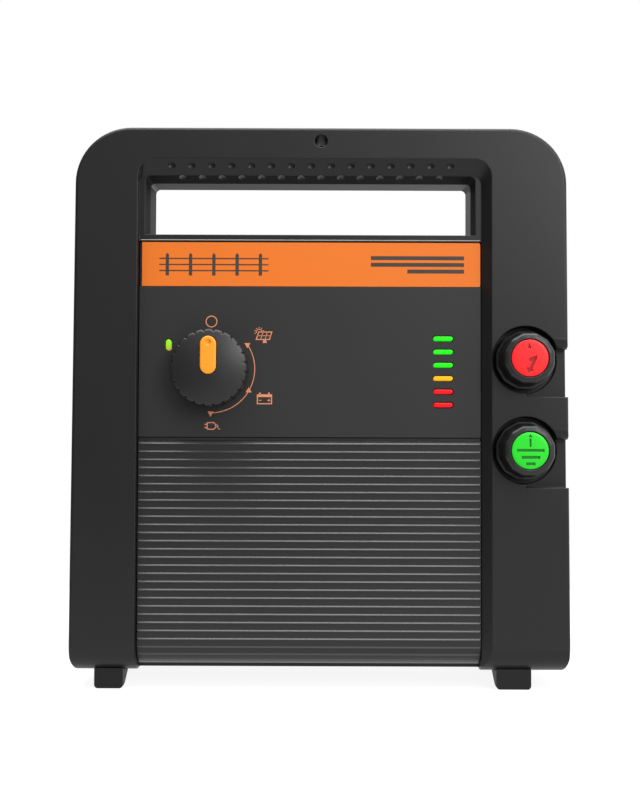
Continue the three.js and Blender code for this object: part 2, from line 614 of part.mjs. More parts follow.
function circuitBoard() {
  const { x0, x1, z0, z1, y0, y1 } = BOARD;
  const holes = BOARD_POSTS.map(([x, z]) => solid(disc(1.6, y0 - 1, y1 + 1, x, z, 12)));
  return cut(solid(box(x0, x1, y0, y1, z0, z1)), ...holes);
}

const boardScrew = ([x, z]) => turned([
  [0, depth(14)], [1.1, depth(14)], [1.1, BOARD.y1 + GAP], [2.8, BOARD.y1 + GAP],
  [2.2, BOARD.y1 + 1.9], [0, BOARD.y1 + 1.9],
], x, z, 8);

// Laminated core with two windows, and the winding that fills them round the middle limb.
function transformerCore() {
  const { x, z, w, h, y0, y1, limb } = CORE;
  const frame = solid(box(x - w / 2, x + w / 2, y0, y1, z - h / 2, z + h / 2));
  const [z0, z1] = [z - h / 2 + 8, z + h / 2 - 8];
  const windows = [-1, 1].map((side) => {
    const sides = [x + side * limb, x + side * (w / 2 - limb * 0.6)].sort((a, b) => a - b);
    return solid(box(...sides, y0 - 1, y1 + 1, z0, z1));
  });
  return cut(frame, ...windows);
}

function transformerWinding() {
  const { x, z, w, h, y0, y1, limb } = CORE;
  const reach = w / 2 - limb * 0.6 - 0.5;
  const outer = solid(box(x - reach, x + reach, y0 - 7, y1 + 7, z - h / 2 + 8.5, z + h / 2 - 8.5));
  return outer.subtract(solid(box(x - limb - 0.5, x + limb + 0.5, y0 - 0.5, y1 + 0.5, z - h, z + h)));
}

function capacitor(x) {
  const { r, h, z } = CAPACITOR;
  const y = BOARD.y1 + GAP;
  return turned([
    [0, y], [r, y], [r, y + 3.2], [r - 0.5, y + 4.2], [r, y + 5.2],
    [r, y + h - 1], [r - 1, y + h], [0, y + h],
  ], x, z, 16);
}

function heatSink() {
  const { x0, x1, z0, z1, base, fins, fin, height } = SINK;
  const y = BOARD.y1 + GAP;
  const pitch = (x1 - x0 - fin) / (fins - 1);
  const blades = Array.from({ length: fins }, (_, i) =>
    solid(box(x0 + i * pitch, x0 + i * pitch + fin, y, y + height, z0, z1)));
  return join(solid(box(x0, x1, y, y + base, z0, z1)), ...blades);
}

// Insulated lead from the board to a terminal's stud, which it joins end to end.
function terminalLead({ x, z }) {
  const end = depth(STUD.y1) + GAP;
  const path = new THREE.CatmullRomCurve3([
    new THREE.Vector3(56, BOARD.y1 + GAP, z - 8),
    new THREE.Vector3(56, BOARD.y1 + 12, z - 8),
    new THREE.Vector3(66, BOARD.y1 + 24, z - 5),
    new THREE.Vector3(88, BOARD.y1 + 26, z - 1),
    new THREE.Vector3(x, end + 11, z),
    new THREE.Vector3(x, end, z),
  ]);
  const section = new THREE.Shape();
  section.absarc(0, 0, LEAD_R, 0, 2 * Math.PI, false);
  return new THREE.ExtrudeGeometry(section, {
    steps: 14, curveSegments: 4, bevelEnabled: false, extrudePath: path,
  });
}

const down = (geometry) => geometry.rotateX(Math.PI / 2).translate(INLET.x, INLET.y, 0);

// Round power socket in the roof of the plug bay, open downwards.
function powerInlet() {
  const { r, bore, flangeR, flangeH, height } = INLET;
  const roof = BAY.top;
  const lip = roof - GAP - flangeH;
  const body = solid(down(turned([
    [bore, lip], [flangeR, lip], [flangeR, roof - GAP], [r, roof - GAP],
    [r, roof + height], [0, roof + height], [0, roof + 12], [bore, roof + 12], [bore, lip],
  ], 0, 0, 24)));
  const pinHoles = [-1, 1].map((side) =>
    solid(down(disc(CONTACT_PIN.r + GAP, roof + 10, roof + 20, side * CONTACT_PIN.offset, 0, 10))));
  return cut(body, ...pinHoles);
}

// Two contact pins on one carrier behind the socket.
function inletPins() {
  const { r, offset } = CONTACT_PIN;
  const [tip, end] = [BAY.top + 2.5, BAY.top + INLET.height + 3];
  const pins = [-1, 1].map((side) => solid(down(turned(
    [[0, tip], [r - 0.3, tip], [r, tip + 0.7], [r, end], [0, end]], side * offset, 0, 10))));
  const { x, y, height } = INLET;
  const carrier = solid(box(x - 5, x + 5, y - 3, y + 3, BAY.top + height + GAP, BAY.top + height + 2));
  return join(...pins, carrier);
}

// ---- assembly -------------------------------------------------------------------------------

const LOOKS = {
  case: { color: '#333335', roughness: 0.55 },
  panel: { color: '#3e3e3e', roughness: 0.6 },
  strip: { color: '#f5802f', roughness: 0.45 },
  pointer: { color: '#fda832', roughness: 0.4 },
  knob: { color: '#2a2a2b', roughness: 0.35 },
  rubber: { color: '#1c1c1d', roughness: 0.85 },
  steel: { color: '#b8bbbf', roughness: 0.3, metalness: 1 },
  copper: { color: '#a4592c', roughness: 0.4, metalness: 0.9 },
  board: { color: '#1f5a34', roughness: 0.5 },
  core: { color: '#55585c', roughness: 0.5, metalness: 0.8 },
  clear: { color: '#dfe6e8', roughness: 0.1 },
};

const group = new THREE.Group();

function add(name, shape, look) {
  const geometry = shape instanceof THREE.BufferGeometry ? weld(shape) : geometryOf(shape);
  const mesh = new THREE.Mesh(geometry, new THREE.MeshStandardMaterial(
    typeof look === 'string' ? LOOKS[look] : look));
  mesh.name = name;
  group.add(mesh);
}

add('front_shell', frontShell(), 'case');
add('rear_shell', rearShell(), 'case');
add('case_seal', caseSeal(), 'rubber');
add('handle_seal', handleSeal(), 'rubber');
SCREWS.forEach((place, i) => add(`case_screw_${i + 1}`, caseScrew(place), 'steel'));
for (const item of FEET) add(item.name, foot(item, footPeg(item)), 'rubber');

add('control_panel', controlPanel(), 'panel');
add('label_strip', labelStrip(), 'strip');
add('ribbed_panel', ribbedPanel(), 'panel');

add('selector_knob', selectorKnob(), 'knob');
add('knob_pointer', knobPointer(), 'pointer');
add('selector_shaft', selectorShaft(), 'steel');
add('selector_seal', selectorSeal(), 'rubber');
add('rotary_switch', rotarySwitch(), 'knob');

const lensColors = ['#32fa28', '#32fa28', '#32fa28', '#fac314', '#e81620', '#e81620'];
lensColors.forEach((color, i) =>
  add(`charge_lens_${i + 1}`, lens(LED.x, ledHeight(i), LED.w, LED.h), { color, roughness: 0.3 }));
add('status_lens', lens(STATUS.x, STATUS.z, STATUS.w, STATUS.h), { color: '#7cc832', roughness: 0.3 });
add('light_guide', lightGuide(), 'clear');

for (const terminal of TERMINALS) {
  const { name, color } = terminal;
  add(`${name}_knob`, terminalKnob(terminal), 'knob');
  add(`${name}_cap`, terminalCap(terminal), { color, roughness: 0.4 });
  add(`${name}_clamp_washer`, washer(WASHER, terminal), 'steel');
  add(`${name}_contact_plate`, washer(CONTACT, terminal), 'steel');
  add(`${name}_stud`, terminalStud(terminal), 'steel');
  add(`${name}_stud_seal`, washer(STUD_SEAL, terminal), 'rubber');
  add(`${name}_stud_nut`, studNut(terminal), 'steel');
  add(`${name}_lead`, terminalLead(terminal), { color, roughness: 0.5 });
}

add('circuit_board', circuitBoard(), 'board');
BOARD_POSTS.forEach((place, i) => add(`board_screw_${i + 1}`, boardScrew(place), 'steel'));
add('transformer_core', transformerCore(), 'core');
add('transformer_winding', transformerWinding(), 'copper');
CAPACITOR.xs.forEach((x, i) => add(`storage_capacitor_${i + 1}`, capacitor(x), 'knob'));
add('heat_sink', heatSink(), 'steel');
add('power_inlet', powerInlet(), 'knob');
add('inlet_pins', inletPins(), 'steel');

export default group;
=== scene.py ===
import json
import math

import bmesh
import bpy
from mathutils import Matrix, Vector


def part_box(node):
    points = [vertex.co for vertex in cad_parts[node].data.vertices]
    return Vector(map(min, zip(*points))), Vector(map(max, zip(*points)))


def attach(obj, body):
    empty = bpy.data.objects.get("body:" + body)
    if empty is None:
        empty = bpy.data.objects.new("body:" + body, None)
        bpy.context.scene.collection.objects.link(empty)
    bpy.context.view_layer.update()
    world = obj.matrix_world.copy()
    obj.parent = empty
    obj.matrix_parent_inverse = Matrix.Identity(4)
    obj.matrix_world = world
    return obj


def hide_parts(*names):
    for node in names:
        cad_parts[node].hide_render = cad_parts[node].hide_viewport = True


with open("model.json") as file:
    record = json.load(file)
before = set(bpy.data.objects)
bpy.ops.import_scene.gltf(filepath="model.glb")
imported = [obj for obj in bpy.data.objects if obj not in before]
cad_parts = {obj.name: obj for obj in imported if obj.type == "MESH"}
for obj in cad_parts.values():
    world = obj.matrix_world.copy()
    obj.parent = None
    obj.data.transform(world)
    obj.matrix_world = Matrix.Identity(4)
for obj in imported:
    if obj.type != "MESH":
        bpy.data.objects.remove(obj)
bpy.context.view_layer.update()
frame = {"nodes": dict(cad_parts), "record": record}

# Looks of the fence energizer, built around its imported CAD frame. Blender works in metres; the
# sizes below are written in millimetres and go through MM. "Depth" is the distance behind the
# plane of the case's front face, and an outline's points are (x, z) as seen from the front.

MM = 0.001
FRONT_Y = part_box("front_shell")[0].y / MM


def depth_of(node):
    """Depths of the front and the back of a CAD node."""
    low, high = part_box(node)
    return low.y / MM - FRONT_Y, high.y / MM - FRONT_Y


def centre_of(node):
    """(x, z) of the middle of a CAD node."""
    low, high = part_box(node)
    return (low.x + high.x) / 2 / MM, (low.z + high.z) / 2 / MM


def point(x, depth, z):
    """Blender's point for millimetres across, behind the front face and up."""
    return Vector((x, FRONT_Y + depth, z)) * MM


# ---- materials --------------------------------------------------------------------------------


def node(tree, kind, inputs=None, **settings):
    """A new node; inputs are links or values by socket, and settings are its own properties."""
    made = tree.nodes.new(kind)
    for key, value in settings.items():
        setattr(made, key, value)
    for key, value in (inputs or {}).items():
        if isinstance(value, bpy.types.NodeSocket):
            tree.links.new(value, made.inputs[key])
        else:
            made.inputs[key].default_value = value
    return made


def principled(name, **values):
    """A new material, its node tree and its shader; values are the shader's constant sockets."""
    material = bpy.data.materials.new(name)
    material.use_nodes = True
    tree = material.node_tree
    shader = tree.nodes["Principled BSDF"]
    for key, value in values.items():
        shader.inputs[key.replace("_", " ")].default_value = value
    return material, tree, shader


def noise(tree, place, size_mm, detail=2.0, stretch=None):
    """Noise from 0 to 1 whose features are about size_mm across, optionally stretched."""
    if stretch:
        place = node(tree, "ShaderNodeMapping", {"Vector": place, "Scale": stretch}).outputs[0]
    made = node(tree, "ShaderNodeTexNoise", {
        "Vector": place, "Scale": 1 / (size_mm * MM), "Detail": detail})
    return made.outputs["Fac"]


def scaled(tree, value, low, high, from_low=0.3, from_high=0.7):
    """Maps a value, by default one of noise, from one range to another and clamps it."""
    made = node(tree, "ShaderNodeMapRange", {
        "Value": value, "From Min": from_low, "From Max": from_high, "To Min": low, "To Max": high})
    return made.outputs[0]


def mixed(tree, share, a, b, blend="MIX"):
    """Mixes two colours; each of the three values is a link or a constant."""
    made = node(tree, "ShaderNodeMix", data_type="RGBA", blend_type=blend)
    for index, value in ((0, share), (6, a), (7, b)):  # the sockets of a colour mix
        if isinstance(value, bpy.types.NodeSocket):
            tree.links.new(value, made.inputs[index])
        else:
            made.inputs[index].default_value = (*value, 1) if index and len(value) == 3 else value
    return made.outputs[2]


def edges(tree, radius_mm):
    """0 on flat surfaces, rising to 1 on edges sharper than radius_mm. It compares the rounded
    normal with the true one: their dot product is below edge on an edge and above flat off it."""
    edge, flat = 0.8, 0.995
    soft = node(tree, "ShaderNodeBevel", {"Radius": radius_mm * MM}, samples=6).outputs[0]
    true = node(tree, "ShaderNodeNewGeometry").outputs["Normal"]
    dot = node(tree, "ShaderNodeVectorMath", {0: soft, 1: true}, operation="DOT_PRODUCT")
    return scaled(tree, dot.outputs["Value"], 1, 0, edge, flat)


def multiplied(tree, a, b):
    return node(tree, "ShaderNodeMath", {0: a, 1: b}, operation="MULTIPLY").outputs[0]


def bumped(tree, shader, height, distance_mm, strength, **extra):
    """Gives the shader relief from a height between 0 and 1."""
    bump = node(tree, "ShaderNodeBump", {
        "Height": height, "Distance": distance_mm * MM, "Strength": strength, **extra})
    tree.links.new(bump.outputs[0], shader.inputs["Normal"])


def object_place(tree):
    """The point on the surface, in the object's own frame."""
    return node(tree, "ShaderNodeTexCoord").outputs["Object"]


def shade(color, by):
    """A colour made that much lighter or darker."""
    return tuple(min(1, max(0, c * by)) for c in color)


def moulded(name, color, roughness=0.4, specular=0.5, grain=0.5, relief=0.012, drift=0.12,
            wear=0.25, rounding=0.35, engraved=None):
    """Moulded plastic: eroded grain, slow colour drift, handling marks and lighter rubbed edges,
    which on the ribs also stand for a painted highlight.
    Grain, relief and rounding are in millimetres. Behind the depth engraved it is darker: a painted
    shade in the engraving."""
    material, tree, shader = principled(name, Specular_IOR_Level=specular)
    place = object_place(tree)
    slow = noise(tree, place, size_mm=60)
    base = mixed(tree, slow, shade(color, 1 - drift), shade(color, 1 + drift))
    if engraved is not None:
        # painted shade: behind this depth the colour darkens, as shade in the engraving
        behind = node(tree, "ShaderNodeSeparateXYZ", {"Vector": place}).outputs["Y"]
        start, run = (FRONT_Y + engraved) * MM, 0.25 * MM
        sunk_shade = scaled(tree, behind, 0, 1, start, start + run)
        base = mixed(tree, sunk_shade, base, shade(color, 0.42))
    rubbed_and_sheen = multiplied(tree, edges(tree, radius_mm=0.9), wear)
    tree.links.new(mixed(tree, rubbed_and_sheen, base, shade(color, 2.2)), shader.inputs["Base Color"])
    marks = noise(tree, place, size_mm=30, detail=5, stretch=(1, 1, 0.4))
    tree.links.new(scaled(tree, marks, roughness - 0.015, roughness + 0.02),
                   shader.inputs["Roughness"])
    corner = node(tree, "ShaderNodeBevel", {"Radius": rounding * MM}, samples=6).outputs[0]
    bumped(tree, shader, noise(tree, place, grain, detail=3), relief, 0.8, Normal=corner)
    return material


def printed(name, color, roughness=0.5):
    """Screen-printed ink: slightly uneven film and edge."""
    material, tree, shader = principled(name, Specular_IOR_Level=0.25)
    place = object_place(tree)
    patchy = noise(tree, place, size_mm=1.6, detail=3)
    film = mixed(tree, patchy, shade(color, 0.86), shade(color, 1.1))
    tree.links.new(film, shader.inputs["Base Color"])
    tree.links.new(scaled(tree, patchy, roughness - 0.08, roughness + 0.1),
                   shader.inputs["Roughness"])
    bumped(tree, shader, noise(tree, place, size_mm=0.4), 0.006, 0.7)
    return material


def overlay(name, color):
    """Satin film with a fine stipple and a slight orange-peel."""
    material, tree, shader = principled(
        name, Specular_IOR_Level=0.2, Coat_Weight=0.03, Coat_Roughness=0.25)
    place = object_place(tree)
    slow = noise(tree, place, size_mm=45, detail=3)
    film = mixed(tree, slow, shade(color, 0.95), shade(color, 1.04))
    tree.links.new(film, shader.inputs["Base Color"])
    peel = noise(tree, place, size_mm=14, detail=4)
    tree.links.new(scaled(tree, peel, 0.4, 0.52), shader.inputs["Roughness"])
    dot_size = 0.5 * MM
    stipple = node(tree, "ShaderNodeTexVoronoi", {"Vector": place, "Scale": 1 / dot_size})
    bumped(tree, shader, stipple.outputs["Distance"], 0.008, 0.6)
    return material


def glowing(name, edge_color, core_color, strength, centre, half_height):
    """Lit lens: brightest at the height centre, with fine diffuser grain."""
    material, tree, shader = principled(name, Roughness=0.3, Specular_IOR_Level=0.2)
    place = object_place(tree)
    height = node(tree, "ShaderNodeSeparateXYZ", {"Vector": place}).outputs["Z"]
    offset = node(tree, "ShaderNodeMath", {0: height, 1: centre * MM}, operation="SUBTRACT")
    away = node(tree, "ShaderNodeMath", {0: offset.outputs[0]}, operation="ABSOLUTE").outputs[0]
    share = scaled(tree, away, 1, 0, 0, half_height * MM)
    grain = scaled(tree, noise(tree, place, size_mm=0.6, detail=3), 0.88, 1.0)
    share = multiplied(tree, share, grain)
    glow = mixed(tree, share, edge_color, core_color)
    tree.links.new(glow, shader.inputs["Emission Color"])
    unlit = mixed(tree, share, shade(edge_color, 0.3), shade(core_color, 0.3))
    tree.links.new(unlit, shader.inputs["Base Color"])
    shader.inputs["Emission Strength"].default_value = strength
    bumped(tree, shader, noise(tree, place, size_mm=0.3), 0.01, 0.5)
    return material


def metal(name, color, roughness=0.3, direction=(1, 1, 1), tarnish=(0.5, 0.5, 0.5)):
    """Plated or drawn metal with brushing along one direction and patches of tarnish."""
    material, tree, shader = principled(name, Metallic=1)
    place = object_place(tree)
    patches = scaled(tree, noise(tree, place, size_mm=5, detail=4), 0, 0.2, 0.45, 0.75)
    tree.links.new(mixed(tree, patches, color, tarnish), shader.inputs["Base Color"])
    lines = noise(tree, place, size_mm=0.25, detail=3, stretch=direction)
    tree.links.new(scaled(tree, lines, roughness - 0.07, roughness + 0.12),
                   shader.inputs["Roughness"])
    bumped(tree, shader, lines, 0.004, 0.6)
    return material


def board_look(name):
    """Solder resist over copper tracks."""
    material, tree, shader = principled(name, Specular_IOR_Level=0.5)
    place = object_place(tree)
    upright = node(tree, "ShaderNodeMapping", {"Vector": place, "Rotation": (math.pi / 2, 0, 0)})
    cell = 9 * MM
    grid = node(tree, "ShaderNodeTexBrick", {
        "Vector": upright.outputs[0], "Scale": 1 / cell, "Mortar Size": 0.05,
        "Color1": (0.01, 0.09, 0.035, 1), "Color2": (0.012, 0.12, 0.05, 1),
        "Mortar": (0.03, 0.2, 0.09, 1)})
    drift = mixed(tree, noise(tree, place, size_mm=3, detail=3), (0.8, 0.8, 0.8), (1, 1, 1))
    resist = mixed(tree, 1.0, grid.outputs["Color"], drift, "MULTIPLY")
    tree.links.new(resist, shader.inputs["Base Color"])
    gloss = scaled(tree, noise(tree, place, size_mm=7), 0.28, 0.42)
    tree.links.new(gloss, shader.inputs["Roughness"])
    bumped(tree, shader, grid.outputs["Fac"], 0.03, 0.5)
    return material


def banded(name, color, dark, pitch_mm, axis, roughness, metallic, relief=0.05):
    """Even bands across one axis, such as laminations or turns of wire."""
    one_per_metre = 0.314  # the wave texture's scale for one band in a metre
    material, tree, shader = principled(name, Metallic=metallic)
    place = object_place(tree)
    waves = node(tree, "ShaderNodeTexWave", {
        "Vector": place, "Scale": one_per_metre / (pitch_mm * MM), "Distortion": 0.4,
        "Detail": 1.0, "Detail Scale": 3.0}, bands_direction=axis).outputs["Fac"]
    tree.links.new(mixed(tree, waves, dark, color), shader.inputs["Base Color"])
    gloss = scaled(tree, noise(tree, place, size_mm=4), roughness, roughness + 0.15)
    tree.links.new(gloss, shader.inputs["Roughness"])
    bumped(tree, shader, waves, relief, 0.8)
    return material


BLACK = (0.0052, 0.0052, 0.0054)
DEEP_BLACK = (0.0045, 0.0045, 0.0046)
# the caps' engraved symbols are darkened behind this depth, a painted shade
CAP = dict(roughness=0.4, specular=0.28, relief=0.008, drift=0.05, wear=0.05,
           engraved=depth_of("live_cap")[0] + 0.28)
LOOKS = {
    "case": moulded("case_plastic", BLACK, 0.37, 0.29, wear=0.4, rounding=0.7),
    # painted shade: a darker, duller plastic for the walls of the hand opening
    "opening_shade": moulded("painted_shade_walls", DEEP_BLACK, 0.7, 0.04, grain=0.9, relief=0.03),
    # painted shade: a duller copy of the case plastic for the rear shell's left wall of the hand
    # opening
    "shaded_side_wall": moulded("shaded_side_wall", BLACK, 0.62, 0.15),
    # painted light: a lighter plastic inside the lower row of scoops
    "scoop": moulded("painted_light_scoop", (0.02, 0.02, 0.0202), 0.42, 0.5, relief=0.003, wear=0.1),
    # painted highlight: a light grey for the bead along the sill of the hand opening
    "sill_highlight": moulded("painted_highlight_sill", (0.2, 0.195, 0.185), 0.4, 0.4, relief=0.004),
    "panel": moulded("panel_plastic", (0.0095, 0.0095, 0.0097), 0.5, 0.3, grain=0.4,
                     relief=0.01, wear=0.2),
    # the ribs' strong edge lightening is partly wear and partly a painted highlight on the bead
    # crests
    "ribs": moulded("rib_plastic", (0.0075, 0.0075, 0.0078), 0.34, 0.37, grain=0.4,
                    relief=0.006, wear=0.6),
    # painted highlight: a lighter plastic for the upper side of the bead crests, standing for the
    # light that they catch
    "crest": moulded("painted_highlight_crest", (0.038, 0.038, 0.0385), 0.36, 0.42, grain=0.4,
                     relief=0.004, wear=0, rounding=0.02),
    "knob": moulded("knob_plastic", (0.007, 0.007, 0.0073), 0.37, 0.36, grain=0.35,
                    relief=0.006, wear=0.3),
    "nylon": moulded("black_nylon", (0.01, 0.01, 0.01), 0.45, 0.4, grain=0.8),
    "rubber": moulded("foot_rubber", DEEP_BLACK, 0.55, 0.24, grain=0.7, relief=0.02, wear=0.4),
    "live_cap": moulded("live_red", (0.76, 0.008, 0.011), **CAP),
    "earth_cap": moulded("earth_green", (0.009, 0.46, 0.012), **CAP),
    "live_wire": moulded("live_insulation", (0.6, 0.014, 0.016), 0.45, 0.4, grain=1.0),
    "earth_wire": moulded("earth_insulation", (0.014, 0.4, 0.02), 0.45, 0.4, grain=1.0),
    "pointer": moulded("pointer_orange", (0.7, 0.235, 0.012), 0.4, 0.3, grain=0.5,
                       relief=0.006, drift=0.04, wear=0.03),
    "strip": overlay("strip_orange", (0.541, 0.122, 0.0105)),
    "ink": printed("orange_ink", (0.5, 0.185, 0.095)),
    "dark_ink": printed("dark_ink", (0.035, 0.028, 0.022), 0.45),
    "steel": metal("plated_steel", (0.62, 0.63, 0.65), 0.28, (1, 5, 1), tarnish=(0.42, 0.4, 0.36)),
    "alloy": metal("extruded_alloy", (0.72, 0.73, 0.75), 0.35, (1, 1, 0.1)),
    "brass": metal("plated_brass", (0.75, 0.55, 0.25), 0.25, (1, 1, 0.2), tarnish=(0.4, 0.25, 0.1)),
    "board": board_look("solder_resist"),
    "core": banded("laminations", (0.2, 0.2, 0.21), (0.06, 0.06, 0.06), 0.5, "Y", 0.4, 0.8),
    "copper": banded("enamelled_wire", (0.5, 0.16, 0.06), (0.16, 0.04, 0.02), 0.8, "Z", 0.3, 0.9,
                     relief=0.12),
    "guide": moulded("clear_guide", (0.7, 0.74, 0.76), 0.15, 0.5, grain=1.5, relief=0.003,
                     drift=0.03, wear=0),
}

# ---- mesh tools -------------------------------------------------------------------------------


def lathe(profile, x, z, segments=64, shape=None):
    """Mesh turned about the depth direction through (x, z). profile holds (radius, depth) points
    and starts and ends on the axis; shape(radius, depth, angle) may alter a radius."""
    mesh = bmesh.new()
    rings = []
    for r, depth in profile:
        ring = []
        for i in range(segments if r else 1):
            angle = 2 * math.pi * i / segments
            reach = shape(r, depth, angle) if shape and r else r
            ring.append(mesh.verts.new(
                point(x + reach * math.sin(angle), depth, z + reach * math.cos(angle))))
        rings.append(ring)
    for a, b in zip(rings, rings[1:]):
        for i in range(segments):
            j = (i + 1) % segments
            corners = [a[i % len(a)], a[j % len(a)], b[j % len(b)], b[i % len(b)]]
            mesh.faces.new(list(dict.fromkeys(corners)))
    return mesh


def loft(rings):
    """Closed mesh through rings of matching points, with flat ends."""
    mesh = bmesh.new()
    made = [[mesh.verts.new(p) for p in ring] for ring in rings]
    for a, b in zip(made, made[1:]):
        for i in range(len(a)):
            mesh.faces.new((a[i - 1], a[i], b[i], b[i - 1]))
    mesh.faces.new(made[0])
    mesh.faces.new(made[-1])
    return mesh


def add_prism(mesh, outline, front, back):
    """Adds a closed prism with that outline between two depths."""
    near = [mesh.verts.new(point(x, front, z)) for x, z in outline]
    far = [mesh.verts.new(point(x, back, z)) for x, z in outline]
    mesh.faces.new(near)
    mesh.faces.new(far)
    for i in range(len(outline)):
        mesh.faces.new((near[i - 1], near[i], far[i], far[i - 1]))


def add_line(mesh, path, width, front, back, closed=False):
    """Adds a raised line of that width along a path of (x, z) points."""
    count, least_cosine = len(path), 0.5  # the latter limits how far a mitre reaches
    sides = [[], []]
    for i, here in enumerate(path):
        before = path[i - 1] if closed or i else here
        after = path[(i + 1) % count] if closed or i + 1 < count else here
        along = [Vector(b) - Vector(a) for a, b in ((before, here), (here, after))]
        along = [v.normalized() for v in along if v.length > 1e-6]
        mean = sum(along, Vector((0, 0))).normalized()
        reach = width / 2 / max(mean.dot(along[0]), least_cosine)
        for side, sign in zip(sides, (-1, 1)):
            side.append((here[0] - sign * reach * mean.y, here[1] + sign * reach * mean.x))
    left_front, left_back, right_front, right_back = [
        [mesh.verts.new(point(x, depth, z)) for x, z in side]
        for side in sides for depth in (front, back)]
    for i in range(0 if closed else 1, count):
        for a, b in ((left_front, right_front), (left_back, right_back),
                     (left_front, left_back), (right_front, right_back)):
            mesh.faces.new((a[i - 1], a[i], b[i], b[i - 1]))
    if not closed:
        for i in (0, -1):
            mesh.faces.new((left_front[i], right_front[i], right_back[i], left_back[i]))


def on_circle(x, z, r, degrees):
    """Point at that angle clockwise from the top."""
    a = math.radians(degrees)
    return x + r * math.sin(a), z + r * math.cos(a)


def arc(x, z, r, start, end, steps):
    """Points from one angle to another, clockwise from the top."""
    return [on_circle(x, z, r, start + (end - start) * i / steps) for i in range(steps + 1)]


def pill(x, z, w, h, inset=0.0, steps=10):
    """Outline with round ends, w by h about (x, z)."""
    r = min(w, h) / 2 - inset
    across, up = max(0, (w - h) / 2), max(0, (h - w) / 2)
    ends = [(x + across, z + up), (x - across, z - up)]
    starts = [0 if w > h else -90, 180 if w > h else 90]
    return [p for (cx, cz), a in zip(ends, starts) for p in arc(cx, cz, r, a, a + 180, steps)]


def pill_button(x, z, w, h, levels, steps=10):
    """Closed mesh with round ends through levels of (inset, depth)."""
    return loft([[point(u, depth, v) for u, v in pill(x, z, w, h, inset, steps)]
                 for inset, depth in levels])


def add_ball(mesh, centre, radii, subdivisions=3):
    """Adds a ball with those radii along x, y and z."""
    matrix = Matrix.Translation(centre) @ Matrix.Diagonal((*radii, 1))
    bmesh.ops.create_icosphere(mesh, subdivisions=subdivisions, radius=MM, matrix=matrix)


def shaded(mesh, data, sharp):
    """Writes a bmesh to mesh data, smooth apart from edges sharper than that many degrees."""
    for face in mesh.faces:
        face.smooth = True
    for edge in mesh.edges:
        edge.smooth = len(edge.link_faces) == 2 and edge.calc_face_angle(0) < math.radians(sharp)
    mesh.to_mesh(data)
    mesh.free()


def object_of(mesh, name, sharp=35):
    """Smooth-shaded object from a bmesh."""
    bmesh.ops.recalc_face_normals(mesh, faces=mesh.faces)
    data = bpy.data.meshes.new(name)
    shaded(mesh, data, sharp)
    made = bpy.data.objects.new(name, data)
    bpy.context.scene.collection.objects.link(made)
    return made


def applied(made, sharp):
    """Applies an object's modifiers."""
    graph = bpy.context.evaluated_depsgraph_get()
    data = bpy.data.meshes.new_from_object(made.evaluated_get(graph))
    made.modifiers.clear()
    old, made.data = made.data, data
    bpy.data.meshes.remove(old)
    mesh = bmesh.new()
    mesh.from_mesh(data)
    shaded(mesh, data, sharp)


def carve(made, cutter, sharp=35):
    """Cuts a bmesh out of an object."""
    tool = object_of(cutter, "cutter")
    modifier = made.modifiers.new("carve", "BOOLEAN")
    modifier.object = tool
    modifier.operation = "DIFFERENCE"
    modifier.solver = "EXACT"
    applied(made, sharp)
    data = tool.data
    bpy.data.objects.remove(tool)
    bpy.data.meshes.remove(data)


def soften(made, width, segments=2, angle=30):
    """Rounds the edges and keeps the flat faces flat."""
    modifier = made.modifiers.new("rounding", "BEVEL")
    modifier.width = width * MM
    modifier.segments = segments
    modifier.limit_method = "ANGLE"
    modifier.angle_limit = math.radians(angle)
    modifier.harden_normals = True
    return made


def flatten(made):
    """Keeps large flat faces evenly lit where they meet fillets."""
    modifier = made.modifiers.new("flat faces", "WEIGHTED_NORMAL")
    modifier.mode = "FACE_AREA"
    modifier.weight = 100  # the most: the larger face alone sets the normal
    modifier.keep_sharp = True
    return made


def place(made, body, look, slot, replaces=None):
    """Gives a piece its material and its CAD body, and hides the CAD node that it stands for; the
    slot is not used.
    """
    made.data.materials.clear()
    made.data.materials.append(LOOKS[look] if isinstance(look, str) else look)
    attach(made, body)
    if replaces:
        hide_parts(replaces)
    return made


def welded(name):
    """Bmesh of a CAD node with its triangles joined into the flat faces that they cover."""
    apart, flat = 0.002, 0.4  # millimetres between points that are one, and degrees
    mesh = bmesh.new()
    mesh.from_mesh(frame["nodes"][name].data)
    bmesh.ops.remove_doubles(mesh, verts=mesh.verts, dist=apart * MM)
    bmesh.ops.dissolve_limit(mesh, angle_limit=math.radians(flat), verts=mesh.verts,
                             edges=mesh.edges)
    return mesh


BODY = {n: body for body, nodes in frame["record"]["behaviour"]["bodies"].items() for n in nodes}
SLOT = {part["node"]: part["material_slot"] for part in frame["record"]["subparts"]}


def refined(name, look, width=0.3, segments=2, angle=30, sharp=35):
    """A welded, rounded copy of a CAD node, which stands for it."""
    made = object_of(welded(name), f"{name}_finish", sharp)
    if width:
        soften(made, width, segments, angle)
    else:
        flatten(made)
    return place(made, BODY[name], look, SLOT[name], name)


# ---- shells -----------------------------------------------------------------------------------

# The hand opening: height of the handle's underside, and the extent of the opening's walls.
UNDERSIDE = 252.6
WALLS_LEFT, WALLS_RIGHT = -87.2, 76.6
WALLS_LOW, WALLS_HIGH = 223.5, 252.9

# The scoops under the handle: the middle of both rows and the distance between two scoops.
GRIP_MIDDLE, GRIP_PITCH = -4.9, 9.82
SHELL_SHARP = 25  # degrees


def grip_dimples():
    """Two staggered rows of small scoops along the handle's lower front edge. The upper row lies
    in the slope there; the lower row cuts into the underside."""
    upper, lower = 15, 14
    slope_top, slope_depth = 260.4, 5.0
    height = 256.8
    depth = slope_depth * (slope_top - height) / (slope_top - UNDERSIDE)
    mesh = bmesh.new()
    for count, from_front, up, radii in ((upper, depth - 0.15, height, (1.85, 0.85, 1.9)),
                                         (lower, 9, UNDERSIDE - 0.05, (1.95, 5, 1.3))):
        for i in range(count):
            across = GRIP_MIDDLE + (i - (count - 1) / 2) * GRIP_PITCH
            add_ball(mesh, point(across, from_front, up), radii)
    return mesh


